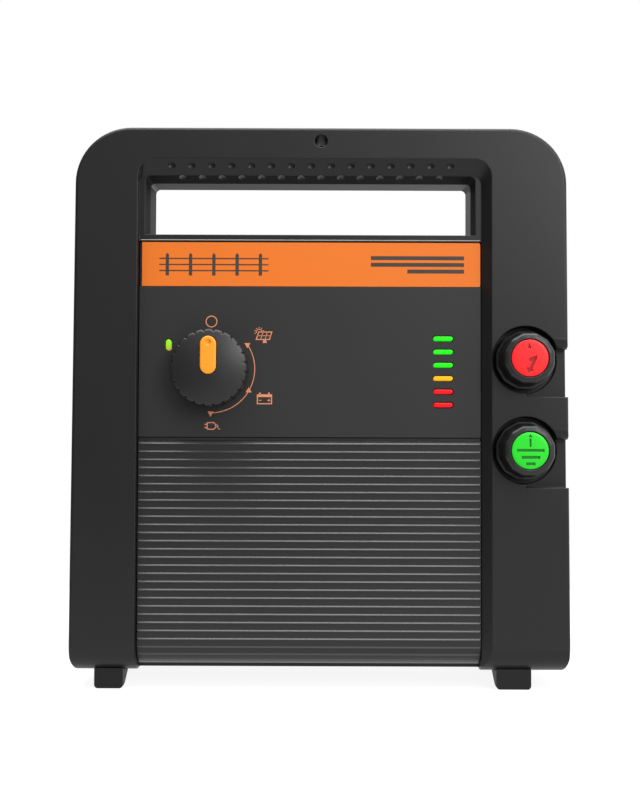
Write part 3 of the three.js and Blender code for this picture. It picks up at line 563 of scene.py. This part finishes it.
def round_outline(mesh):
    """Rounds the front outline of the case: the left side, the right side above the terminals,
    and the top on either side of the hang hole."""
    width, plane = 1.8, 0.05  # how much is rounded, and the depth of the front plane's points
    left, right, terminals_top = -100, 117, 186
    top, corners, hang_hole = 273.5, 262, 10

    def outer(vert):
        x, z = vert.co.x / MM, vert.co.z / MM
        return vert.co.y / MM - FRONT_Y < plane and (
            x < left or (x > right and z > terminals_top)
            or z > top or (z > corners and abs(x) > hang_hole))

    chosen = [e for e in mesh.edges if all(outer(v) for v in e.verts)]
    bmesh.ops.bevel(mesh, geom=chosen, offset=width * MM, offset_type="OFFSET", segments=4,
                    profile=0.5, affect="EDGES", clamp_overlap=True)
    return mesh


def shells():
    """The front shell, whose opening has darker, duller walls (a painted shade) and lighter scoops
    (painted light), and the rear one, whose left opening wall is duller too (a painted shade).
    """
    front = object_of(round_outline(welded("front_shell")), "front_shell_finish", SHELL_SHARP)
    carve(front, grip_dimples(), SHELL_SHARP)
    place(flatten(front), "case", "case", SLOT["front_shell"], "front_shell")
    front.data.materials.append(LOOKS["opening_shade"])
    front.data.materials.append(LOOKS["scoop"])
    row_reach, scoop_low, scoop_high, scoop_front, scoop_back = 70, 0.01, 1.3, 9.5, 14
    for face in front.data.polygons:
        x, y, z = face.center / MM
        walls = WALLS_LEFT < x < WALLS_RIGHT and WALLS_LOW < z < WALLS_HIGH
        sideways = abs(face.normal.x) > 0.05 or face.normal.z < -0.05
        # painted shade: the side walls and underside of the hand opening get the darker plastic
        if walls and sideways and abs(face.normal.y) < 0.02:
            face.material_index = 1
        # painted light: faces inside the lower row of scoops get the lighter plastic
        if (abs(x - GRIP_MIDDLE) < row_reach and scoop_front < y - FRONT_Y < scoop_back
                and UNDERSIDE + scoop_low < z < UNDERSIDE + scoop_high):
            face.material_index = 2

    rear = refined("rear_shell", "case", 0, sharp=SHELL_SHARP)
    rear.data.materials.append(LOOKS["shaded_side_wall"])
    for face in rear.data.polygons:
        x, _, z = face.center / MM
        left_wall = -88 < x < -84 and WALLS_LOW < z < WALLS_HIGH
        # painted shade: the rear shell's left wall of the hand opening gets the duller plastic
        if left_wall and face.normal.x > 0.9:
            face.material_index = 1


shells()

# ---- front panels -----------------------------------------------------------------------------

PANEL_DEPTH = depth_of("control_panel")[0]
INK_FRONT, INK_BACK = -0.05, 0.03  # depths of printed marks, from the surface that they are on

# A bead's section: distance down from its middle, and height as a share of the full height.
BEAD = ((-0.5, 0), (-0.02, 0.86), (0.06, 0.96), (0.16, 1), (0.28, 0.94), (0.38, 0.7), (0.44, 0.3),
        (0.46, 0))
CREST = range(1, 5)  # those of its segments that make its upper side


def ribbed_panel():
    """Sheet of fine beads that rolls under the case; the beads fade out at both ends."""
    low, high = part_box("ribbed_panel")
    left, right, top = low.x / MM, high.x / MM, high.z / MM
    back = high.y / MM - FRONT_Y
    base, radius = 11.0, 13.0  # the height of the underside, and the roll into it
    pitch, beads, last_full, faint = 3.98, 28, 24, 0.4
    thick, step, bead_lift = 3.2, 1.2, 0.56
    first = top - 3.0
    straight = first - base - radius
    quarter = radius * math.pi / 2

    def at(s, lift):
        """(depth, z) at distance s down the face from the first bead."""
        if s <= straight:
            return PANEL_DEPTH - lift, first - s
        a = min((s - straight) / radius, math.pi / 2)
        return (PANEL_DEPTH + radius - (radius + lift) * math.cos(a),
                base + radius - (radius + lift) * math.sin(a))

    crests = set()  # the segments of the whole section that are on a crest

    def section(share):
        """Outline of the sheet, as (depth, z), with its beads at that share of their height."""
        line = [(PANEL_DEPTH + thick, top), (PANEL_DEPTH + step, top),
                (PANEL_DEPTH + step, first + 1.6), (PANEL_DEPTH + 0.25, first + 1.35),
                (PANEL_DEPTH, first + 1.2)]
        for i in range(beads):
            s = i * pitch
            crests.update(len(line) + k for k in CREST)
            lift = bead_lift * share * (1 if i <= last_full else faint)
            line += [at(s + down, out * lift) for down, out in BEAD]
            if straight - pitch < s < straight + quarter - pitch:  # more points round the roll
                line += [at(s + pitch * k / 4, 0) for k in (1, 2, 3)]
        line += [at(straight + quarter * k, 0) for k in (0.8, 0.9, 1)]
        line += [(back, base), (back, base + thick)]
        inner = radius - thick
        line += [(PANEL_DEPTH + radius - inner * math.sin(t), base + radius - inner * math.cos(t))
                 for t in (math.pi / 2 * k / 8 for k in range(9))]
        return line

    # How the beads rise: distance from the end of the sheet, and share of their full height.
    rise = [(0, 0), (0.1, 0.2), (0.25, 0.6), (0.5, 0.9), (0.8, 1)]
    stations = [(left + d, share) for d, share in rise]
    stations += [(right - d, share) for d, share in reversed(rise)]
    rings = [[point(x, d, z) for d, z in section(share)] for x, share in stations]
    made = object_of(loft(rings), "ribbed_panel_finish")
    place(made, "case", "ribs", "panel", "ribbed_panel")
    # painted highlight: the upper side of each bead's crest gets the lighter crest plastic
    made.data.materials.append(LOOKS["crest"])
    count, dull = len(rings[0]), 2  # the bands between rings that keep the plain look at an end
    for face in made.data.polygons:
        band, segment = divmod(face.index, count)
        if dull <= band < len(rings) - 1 - dull and segment in crests:
            face.material_index = 1


def prints():
    """Markings round the selector, as thin raised ink on the control panel. Where two marks
    cross, one starts a little further forward."""
    front, back = PANEL_DEPTH + INK_FRONT, PANEL_DEPTH + INK_BACK
    over = front - 0.01
    x0, z0 = centre_of("selector_shaft")
    marks = (56, 120, 180)  # degrees
    line, thin = 0.5, 0.34

    def ink(name, fill):
        mesh = bmesh.new()
        fill(mesh)
        place(object_of(mesh, name), "case", "ink", "strip")

    def dial(mesh):
        r = 21.65
        add_line(mesh, arc(x0, z0, r, marks[0], marks[-1], 48), 0.42, front, back)
        for degrees, tip in zip(marks, (-1, 1, -1)):
            x, z = on_circle(x0, z0, r, degrees)
            low, high = z - 0.7 * tip, z + 1.9 * tip
            add_prism(mesh, [(x - 1.5, low), (x + 1.5, low), (x, high)], over, back)

    def off(mesh):
        add_line(mesh, arc(-53.8, 180.2, 2.68, 0, 352.5, 47), line, front, back, closed=True)

    def solar(mesh):
        x, z = -28.1, 173.4
        sun = (x - 2.2, z + 1.7)
        add_line(mesh, arc(*sun, 1.35, -110, 88, 14), thin, front, back)
        for degrees in range(-108, 91, 36):
            add_line(mesh, [on_circle(*sun, r, degrees) for r in (1.8, 2.4)], 0.4, front, back)
        corners = [(x - 3.6, z - 2.0), (x + 2.9, z - 2.0), (x + 4.1, z + 1.7), (x - 2.4, z + 1.7)]
        add_line(mesh, corners, line, front, back, closed=True)
        for share in (1 / 3, 2 / 3):
            low_edge = (corners[0][0] + share * 6.5, corners[0][1])
            add_line(mesh, [low_edge, (low_edge[0] + 1.2, corners[2][1])], thin, front, back)
        add_line(mesh, [(x - 3.0, z - 0.15), (x + 3.5, z - 0.15)], thin, front, back)
        stand = [(x - 0.1, z - 2.2), (x + 1.3, z - 2.2), (x + 1.6, z - 3.7), (x - 0.4, z - 3.7)]
        add_prism(mesh, stand, front, back)

    def battery(mesh):
        x, z = -27.5, 142.0
        box = [(x - 3.5, z - 2.3), (x + 3.5, z - 2.3), (x + 3.5, z + 2.1), (x - 3.5, z + 2.1)]
        add_line(mesh, box, line, front, back, closed=True)
        add_line(mesh, [(x - 3.5, z + 1.55), (x + 3.5, z + 1.55)], 1.1, over, back)
        for side in (-2.2, 2.2):
            middle = x + side
            add_line(mesh, [(middle, z + 2.2), (middle, z + 3.2)], 0.8, front, back)
            add_line(mesh, [(middle - 0.75, z - 0.6), (middle + 0.75, z - 0.6)], thin, front, back)
        add_line(mesh, [(x + 2.2, z - 1.35), (x + 2.2, z + 0.15)], thin, over, back)

    def plug(mesh):
        x, z = -53.2, 128.7
        body = [(x - 2.4, z + 1.5), (x - 0.2, z + 1.7), *arc(x + 0.1, z, 1.7, 20, 160, 8),
                (x - 0.2, z - 1.7), (x - 2.4, z - 1.5)]
        add_line(mesh, body, line, front, back, closed=True)
        for up in (-0.8, 0.8):
            add_line(mesh, [(x - 2.4, z + up), (x - 3.7, z + up)], 0.55, over, back)
        lead = [(1.8, 0), (2.3, -0.1), (2.7, -0.5), (2.9, -1.1), (3.4, -1.5), (4.1, -1.6)]
        flash = [(2.2, 0.9), (3.0, -0.2), (2.4, -0.2), (3.1, -1.2)]
        for path, start in ((lead, front), (flash, over)):
            add_line(mesh, [(x + u, z + v) for u, v in path], thin, start, back)

    for name, fill in (("print_dial", dial), ("print_off", off), ("print_solar", solar),
                       ("print_battery", battery), ("print_mains", plug)):
        ink(name, fill)


def fence_motif():
    """Plain pictogram of a wire fence at the left of the coloured strip, and three plain bars at
    its right."""
    surface = depth_of("label_strip")[0]
    front, back = surface + INK_FRONT, surface + INK_BACK
    low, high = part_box("label_strip")
    middle = (low.z + high.z) / 2 / MM
    fence = bmesh.new()
    left, pitch, posts = low.x / MM + 13.5, 11.5, 5
    for i in range(posts):
        x = left + i * pitch
        add_prism(fence, [(x - 0.8, middle - 5.6), (x + 0.8, middle - 5.6), (x + 0.8, middle + 4.6),
                          (x, middle + 5.6), (x - 0.8, middle + 4.6)], front - 0.01, back)
    ends = left - 4, left + (posts - 1) * pitch + 4
    for up in (-3.2, -0.2, 2.8):
        add_line(fence, [(x, middle + up) for x in ends], 0.6, front, back)
    place(object_of(fence, "print_fence"), "case", "dark_ink", "strip")
    bars = bmesh.new()
    right = high.x / MM - 8
    for up, length in ((3.3, 46), (0, 46), (-3.3, 28)):
        add_line(bars, [(right - length, middle + up), (right, middle + up)], 1.9, front, back)
    place(object_of(bars, "print_bars"), "case", "dark_ink", "strip")


def sill_line():
    """Half-round bead between the coloured strip and the sill of the hand opening, in a light grey
    that is a painted highlight.
    """
    left, right, height, radius = -88.9, 78.6, 220.65, 0.25
    angles = [math.pi * k / 8 for k in range(9)]
    profile = [(radius * math.cos(t), radius * math.sin(t)) for t in angles]
    rings = [[point(x, PANEL_DEPTH + INK_BACK - out, height + up) for up, out in profile]
             for x in (left, right)]
    place(object_of(loft(rings), "sill_line", 50), "case", "sill_highlight", "case")


def panels():
    refined("control_panel", "panel", 0.18)
    strip = refined("label_strip", "strip", 0.15)
    gap = 1 * MM
    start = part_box("label_strip")[0].x + gap
    for vert in strip.data.vertices:  # its left end stops short of the recess
        vert.co.x = max(vert.co.x, start)
    ribbed_panel()
    prints()
    fence_motif()
    sill_line()


def lenses():
    """The indicator lenses, each with its own lit material: a rim and a core colour."""
    colors = {
        "lens_green": ((0.01, 0.7, 0.004), (0.025, 1.0, 0.01)),
        "lens_amber": ((0.78, 0.38, 0.001), (1.0, 0.52, 0.004)),
        "lens_red": ((0.72, 0.003, 0.006), (0.88, 0.005, 0.01)),
        "lens_status": ((0.55, 0.36, 0.05), (0.22, 0.85, 0.015)),
    }
    names = [n for n in SLOT if n.startswith("charge_lens")] + ["status_lens"]
    for name in names:
        low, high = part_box(name)
        x, z = centre_of(name)
        w, h = (high.x - low.x) / MM - 0.3, (high.z - low.z) / MM - 0.25
        front, back = depth_of(name)
        made = object_of(pill_button(x, z, w, h, (
            (0, back), (0, front + 0.35), (0.12, front + 0.14), (0.35, front + 0.03),
            (0.7, front))), f"{name}_finish", 60)
        rim, core = colors[SLOT[name]]
        lift, reach = (1, 0.75) if name == "status_lens" else (0, 0.6)
        look = glowing(f"{name}_light", rim, core, 0.75, z + lift, h * reach)
        place(made, "case", look, SLOT[name], name)


panels()
lenses()

# ---- selector ---------------------------------------------------------------------------------


def selector():
    """Shallow domed knob with narrow notches round its skirt, and the pointer set into it."""
    x, z = centre_of("selector_shaft")
    front, rear = depth_of("selector_knob")
    notches, per_notch, notch, narrowness = 24, 20, 0.75, 9
    skirt_from, ball = 17.3, 62  # the radius where the notches start, and the dome's own

    def notched(r, _, angle):
        share = min(1, max(0, r - skirt_from))
        wave = 0.5 - 0.5 * math.cos(notches * angle)
        return r - notch * share * wave ** narrowness

    dome = [(r, ball - math.sqrt(ball * ball - r * r))
            for r in (0, 2.5, 5, 7.5, 10, 12, 14, 15.5, 16.6)]
    dome += [(17.6, 2.52), (18.1, 2.75), (18.45, 3.05), (18.7, 3.5), (18.8, 4.1), (18.8, 9.0),
             (18.8, rear - front - 0.5), (18.4, rear - front)]
    collar, bore, floor_depth = 7.1, 3.3, front + 5.9
    socket = [(collar, rear), (collar, rear - 1.5), (bore, rear - 1.5), (bore, floor_depth),
              (0, floor_depth)]
    profile = [(r, front + d) for r, d in dome] + socket
    knob = object_of(lathe(profile, x, z, notches * per_notch, notched),
                     "selector_knob_finish", 40)
    low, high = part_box("knob_pointer")
    w, h = (high.x - low.x) / MM, (high.z - low.z) / MM
    px, pz = centre_of("knob_pointer")
    fit, end_steps = 0.5, 16  # the slot's clearance, and the points round each end
    slot = bmesh.new()
    add_prism(slot, pill(px, pz, w + fit, h + fit, 0, end_steps), front - 3, front + 2.6)
    carve(knob, slot, 40)
    place(knob, "selector", "knob", "knob", "selector_knob")

    top, base = depth_of("knob_pointer")
    pointer = object_of(pill_button(px, pz, w, h, (
        (0, base), (0, top + 0.55), (0.12, top + 0.28), (0.34, top + 0.1), (0.62, top + 0.02),
        (0.9, top)), end_steps), "knob_pointer_finish", 45)
    dimple, radius = bmesh.new(), 1.85
    add_ball(dimple, point(px, top - 0.95, high.z / MM - 3.1), [radius] * 3, subdivisions=4)
    carve(pointer, dimple, 45)
    place(pointer, "selector", "pointer", "pointer", "knob_pointer")


selector()

# ---- wire terminals ---------------------------------------------------------------------------


CAP_RECESS = 9.25  # radius of the recess in a terminal knob


def faceted(sides):
    """Radius rule for a polygon with that many flat sides and slightly rounded corners. The
    recess for the cap stays round."""
    step, most, round_up_to = 2 * math.pi / sides, 1.024, CAP_RECESS + 0.35

    def shape(r, _, angle):
        off = (angle + step / 2) % step - step / 2
        return r * min(1 / math.cos(off), most) if r > round_up_to else r

    return shape


def cap_symbol(terminal, x, z, front):
    """Cutter for the symbol in a cap: a small arrow over a bolt, or over the earth sign."""
    mesh = bmesh.new()

    def cut(*outline):
        add_prism(mesh, [(x + u, z + v) for u, v in outline], front - 1, front + 0.75)

    if terminal == "live":
        cut((-1.3, 4.7), (0.5, 4.7), (-0.4, 7.2))
        cut((3.3, 1.3), (-1.0, -0.3), (-0.3, -1.9), (0.9, -1.7), (-0.5, -4.7), (-1.6, -4.4),
            (-1.2, -7.3), (1.6, -6.1), (0.8, -5.3), (2.9, -0.9))
    else:
        cut((-0.9, 6.4), (0.9, 6.4), (0, 7.9))
        for left, right, low, high in ((-0.45, 0.45, 1.8, 5.8), (-6.4, 6.7, -0.5, 0.8),
                                       (-4.2, 4.6, -3.9, -2.5), (-2.1, 2.3, -7.0, -5.6)):
            cut((left, low), (right, low), (right, high), (left, high))
    return mesh


def threaded(name, x, z, radius, front, back, start, end):
    """Stud with a helical V thread between the depths start and end."""
    pitch, cut = 1.25, 0.62
    steps, segments = 8, 32  # rings to a turn, and points to a ring
    count = round((end - start) / pitch * steps)

    def helix(r, depth, angle):
        if r < radius - 0.01:
            return r
        turn = (depth / pitch + angle / (2 * math.pi)) % 1
        fade = min(1, max(0, (depth - start) / pitch), max(0, (end - depth) / pitch))
        return r - cut * fade * abs(2 * turn - 1)

    profile = [(0, front), (radius - 0.8, front), (radius - 0.3, front + 0.6)]
    profile += [(radius, start + (end - start) * i / count) for i in range(count + 1)]
    profile += [(radius, back - 0.8), (radius - 0.8, back), (0, back)]
    return object_of(lathe(profile, x, z, segments, helix), name, 50)


def terminal(name):
    """Twelve-sided knob with a skirt, its cap, and the stud with its washer and contact plate."""
    x, z = centre_of(f"{name}_stud")
    front, rear = depth_of(f"{name}_knob")
    skirt, crown, bore, bore_end = 14.3, 12.1, 4.3, -9.1
    recess_floor = front + 2.0
    outline = [
        (0, bore_end), (bore, bore_end), (bore, rear), (skirt - 0.8, rear),
        (skirt - 0.2, rear - 0.25), (skirt, rear - 0.8), (skirt, 2.8), (skirt - 0.08, 2.5),
        (skirt - 0.35, 2.3), (skirt - 0.7, 2.2), (crown + 0.8, 1.8), (crown + 0.35, 1.2),
        (crown + 0.2, 0.2), (crown, front + 2.1), (crown - 0.12, front + 1.5),
        (crown - 0.45, front + 0.95), (crown - 1.0, front + 0.5), (crown - 1.9, front + 0.22),
        (CAP_RECESS + 0.25, front + 0.12), (CAP_RECESS, front + 0.3),
        (CAP_RECESS, recess_floor), (0, recess_floor),
    ]
    sides, per_side = 12, 12
    knob = object_of(lathe(outline, x, z, sides * per_side, faceted(sides)),
                     f"{name}_knob_finish", 28)
    place(knob, f"{name}_terminal", "knob", "knob", f"{name}_knob")

    front, back = depth_of(f"{name}_cap")
    rim = CAP_RECESS - 0.3
    profile = [(0, back), (rim, back), (rim, front + 0.65), (8.8, front + 0.38),
               (8.5, front + 0.25), (7.5, front + 0.17), (5, front + 0.07), (2.5, front + 0.02),
               (0, front)]
    cap = object_of(lathe(profile, x, z, 96), f"{name}_cap_finish", 40)
    carve(cap, cap_symbol(name, x, z, front), 40)
    place(cap, f"{name}_terminal", f"{name}_cap", f"{name}_color", f"{name}_cap")

    front, back = depth_of(f"{name}_stud")
    radius, thread_end = 4, 11
    stud = threaded(f"{name}_stud_finish", x, z, radius, front, back, front + 1, thread_end)
    place(stud, "case", "steel", "steel", f"{name}_stud")
    for part in ("clamp_washer", "contact_plate"):
        refined(f"{name}_{part}", "steel", 0.2)


for terminal_name in ("live", "earth"):
    terminal(terminal_name)

# ---- feet, screws and inlet -------------------------------------------------------------------


def screw(name):
    """Pan head with a cross recess on a plain shank; the head faces the back."""
    x, z = centre_of(name)
    front, back = depth_of(name)
    head, tall, shank, reach = 3.8, 2.6, 1.9, 1.9  # reach is the cross recess's
    seat = back - tall
    profile = [(0, front), (0.5, front + 0.2), (1.6, front + 2.2), (shank, front + 3),
               (shank, seat), (head - 0.1, seat), (head, seat + 0.2), (head, seat + 0.9),
               (head - 0.35, seat + 1.7), (head - 1.1, seat + 2.25), (head - 2.2, back - 0.08),
               (0, back)]
    made = object_of(lathe(profile, x, z, 48), f"{name}_finish", 40)
    for turn in (45, 135):
        slot = bmesh.new()
        ends = [on_circle(x, z, reach, degrees) for degrees in (turn, turn + 180)]
        add_line(slot, ends, 0.75, back - 1.5, back + 0.5)
        carve(made, slot, 40)
    place(made, "case", "steel", "steel", name)


def front_foot(name):
    """Wedge whose underside rises from the back of a narrow tread to the case."""
    tread_back, heel = point(0, 10.5, 0), point(0, 27, 8)
    mesh = welded(name)
    cut = bmesh.ops.bisect_plane(
        mesh, geom=[*mesh.verts, *mesh.edges, *mesh.faces], dist=1e-7, plane_co=tread_back,
        plane_no=Vector((1, 0, 0)).cross(heel - tread_back), clear_inner=True)
    rim = [edge for edge in cut["geom_cut"] if isinstance(edge, bmesh.types.BMEdge)]
    bmesh.ops.contextual_create(mesh, geom=rim)
    made = soften(object_of(mesh, f"{name}_finish"), 0.9, 3, 40)
    place(made, BODY[name], "rubber", SLOT[name], name)


def fittings():
    for name in ("foot_front_left", "foot_front_right"):
        front_foot(name)
    for name in ("foot_rear_left", "foot_rear_right"):
        refined(name, "rubber", 0.7, 3, 40)
    for name in [n for n in SLOT if n.startswith("case_screw")]:
        screw(name)
    refined("power_inlet", "nylon", 0.25)
    refined("inlet_pins", "brass", 0)


fittings()

# ---- inside the case --------------------------------------------------------------------------

INSIDE = {
    "case_seal": "rubber", "handle_seal": "rubber", "selector_seal": "rubber",
    "selector_shaft": "steel", "rotary_switch": "nylon", "light_guide": "guide",
    "circuit_board": "board", "heat_sink": "alloy", "transformer_core": "core",
    "transformer_winding": "copper",
    **{f"{t}_{part}": look for t in ("live", "earth") for part, look in (
        ("stud_seal", "rubber"), ("stud_nut", "steel"), ("lead", f"{t}_wire"))},
    **{n: "steel" for n in SLOT if n.startswith("board_screw")},
    **{n: "nylon" for n in SLOT if n.startswith("storage_capacitor")},
}
for inner_node, inner_look in INSIDE.items():
    inner = frame["nodes"][inner_node]
    inner.data.materials.clear()
    inner.data.materials.append(LOOKS[inner_look])

# ---- camera, light and backdrop ---------------------------------------------------------------

# In metres, degrees and, for the lens and the sensor, millimetres.
CAMERA_AT = (-0.00014, -0.65528, 0.12)
CAMERA_TILT, CAMERA_ROLL = 92, 0.2
LENS, SENSOR = 56.7, 36
FLOOR_RADIUS = 0.45


def softbox(name, place_at, target, size, radiance):
    """Area light aimed at a point, as bright per area as asked."""
    light = bpy.data.lights.new(name, "AREA")
    light.shape = "RECTANGLE"
    light.size, light.size_y = size
    light.energy = radiance * math.pi * size[0] * size[1]
    made = bpy.data.objects.new(name, light)
    away = (Vector(place_at) - Vector(target)).to_track_quat("Z", "Y")
    made.matrix_world = Matrix.Translation(place_at) @ away.to_matrix().to_4x4()
    bpy.context.scene.collection.objects.link(made)


def studio_world():
    """White room, brightest above and to the right; the camera sees plain white."""
    brightest, dimmest, most = (0.8, 0, 0.6), 0.28, 1.5
    world = bpy.data.worlds.new("studio")
    world.use_nodes = True
    tree = world.node_tree
    background = tree.nodes["Background"]
    direction = node(tree, "ShaderNodeTexCoord").outputs["Generated"]
    toward = node(tree, "ShaderNodeVectorMath", {0: direction, 1: brightest},
                  operation="DOT_PRODUCT")
    light = scaled(tree, toward.outputs["Value"], dimmest, most, -0.3, 0.55)
    seen = node(tree, "ShaderNodeLightPath").outputs["Is Camera Ray"]
    tree.links.new(mixed(tree, seen, light, (1, 1, 1)), background.inputs["Color"])
    bpy.context.scene.world = world


def floor():
    """Large pale disc that the object stands on, lit from within so that it stays white."""
    mesh = bmesh.new()
    bmesh.ops.create_circle(mesh, cap_ends=True, segments=96, radius=FLOOR_RADIUS)
    made = object_of(mesh, "floor")
    material, tree, shader = principled("pale_floor", Roughness=0.9, Specular_IOR_Level=0.1)
    spot = object_place(tree)
    tone = mixed(tree, noise(tree, spot, size_mm=400), (0.11, 0.11, 0.11), (0.13, 0.13, 0.13))
    tree.links.new(tone, shader.inputs["Base Color"])
    shader.inputs["Emission Color"].default_value = (1, 1, 1, 1)
    shader.inputs["Emission Strength"].default_value = 0.9
    made.data.materials.append(material)


def studio():
    """The photograph's camera, the room, the floor and two softboxes."""
    scene = bpy.context.scene
    scene.view_settings.view_transform = "Standard"
    camera = bpy.data.objects.new("camera", bpy.data.cameras.new("camera"))
    camera.data.lens, camera.data.sensor_width = LENS, SENSOR
    camera.data.clip_start = 0.01
    camera.matrix_world = (
        Matrix.Translation(CAMERA_AT)
        @ Matrix.Rotation(math.radians(CAMERA_TILT), 4, "X")
        @ Matrix.Rotation(math.radians(CAMERA_ROLL), 4, "Z"))
    scene.collection.objects.link(camera)
    scene.camera = camera
    studio_world()
    floor()
    softbox("overhead", (0, -0.15, 1.3), (0, 0, 0.1), size=(1.5, 0.9), radiance=8)
    softbox("right_front", (0.7, -1.2, 0.75), (0, 0, 0.15), size=(0.6, 0.6), radiance=10)


studio()
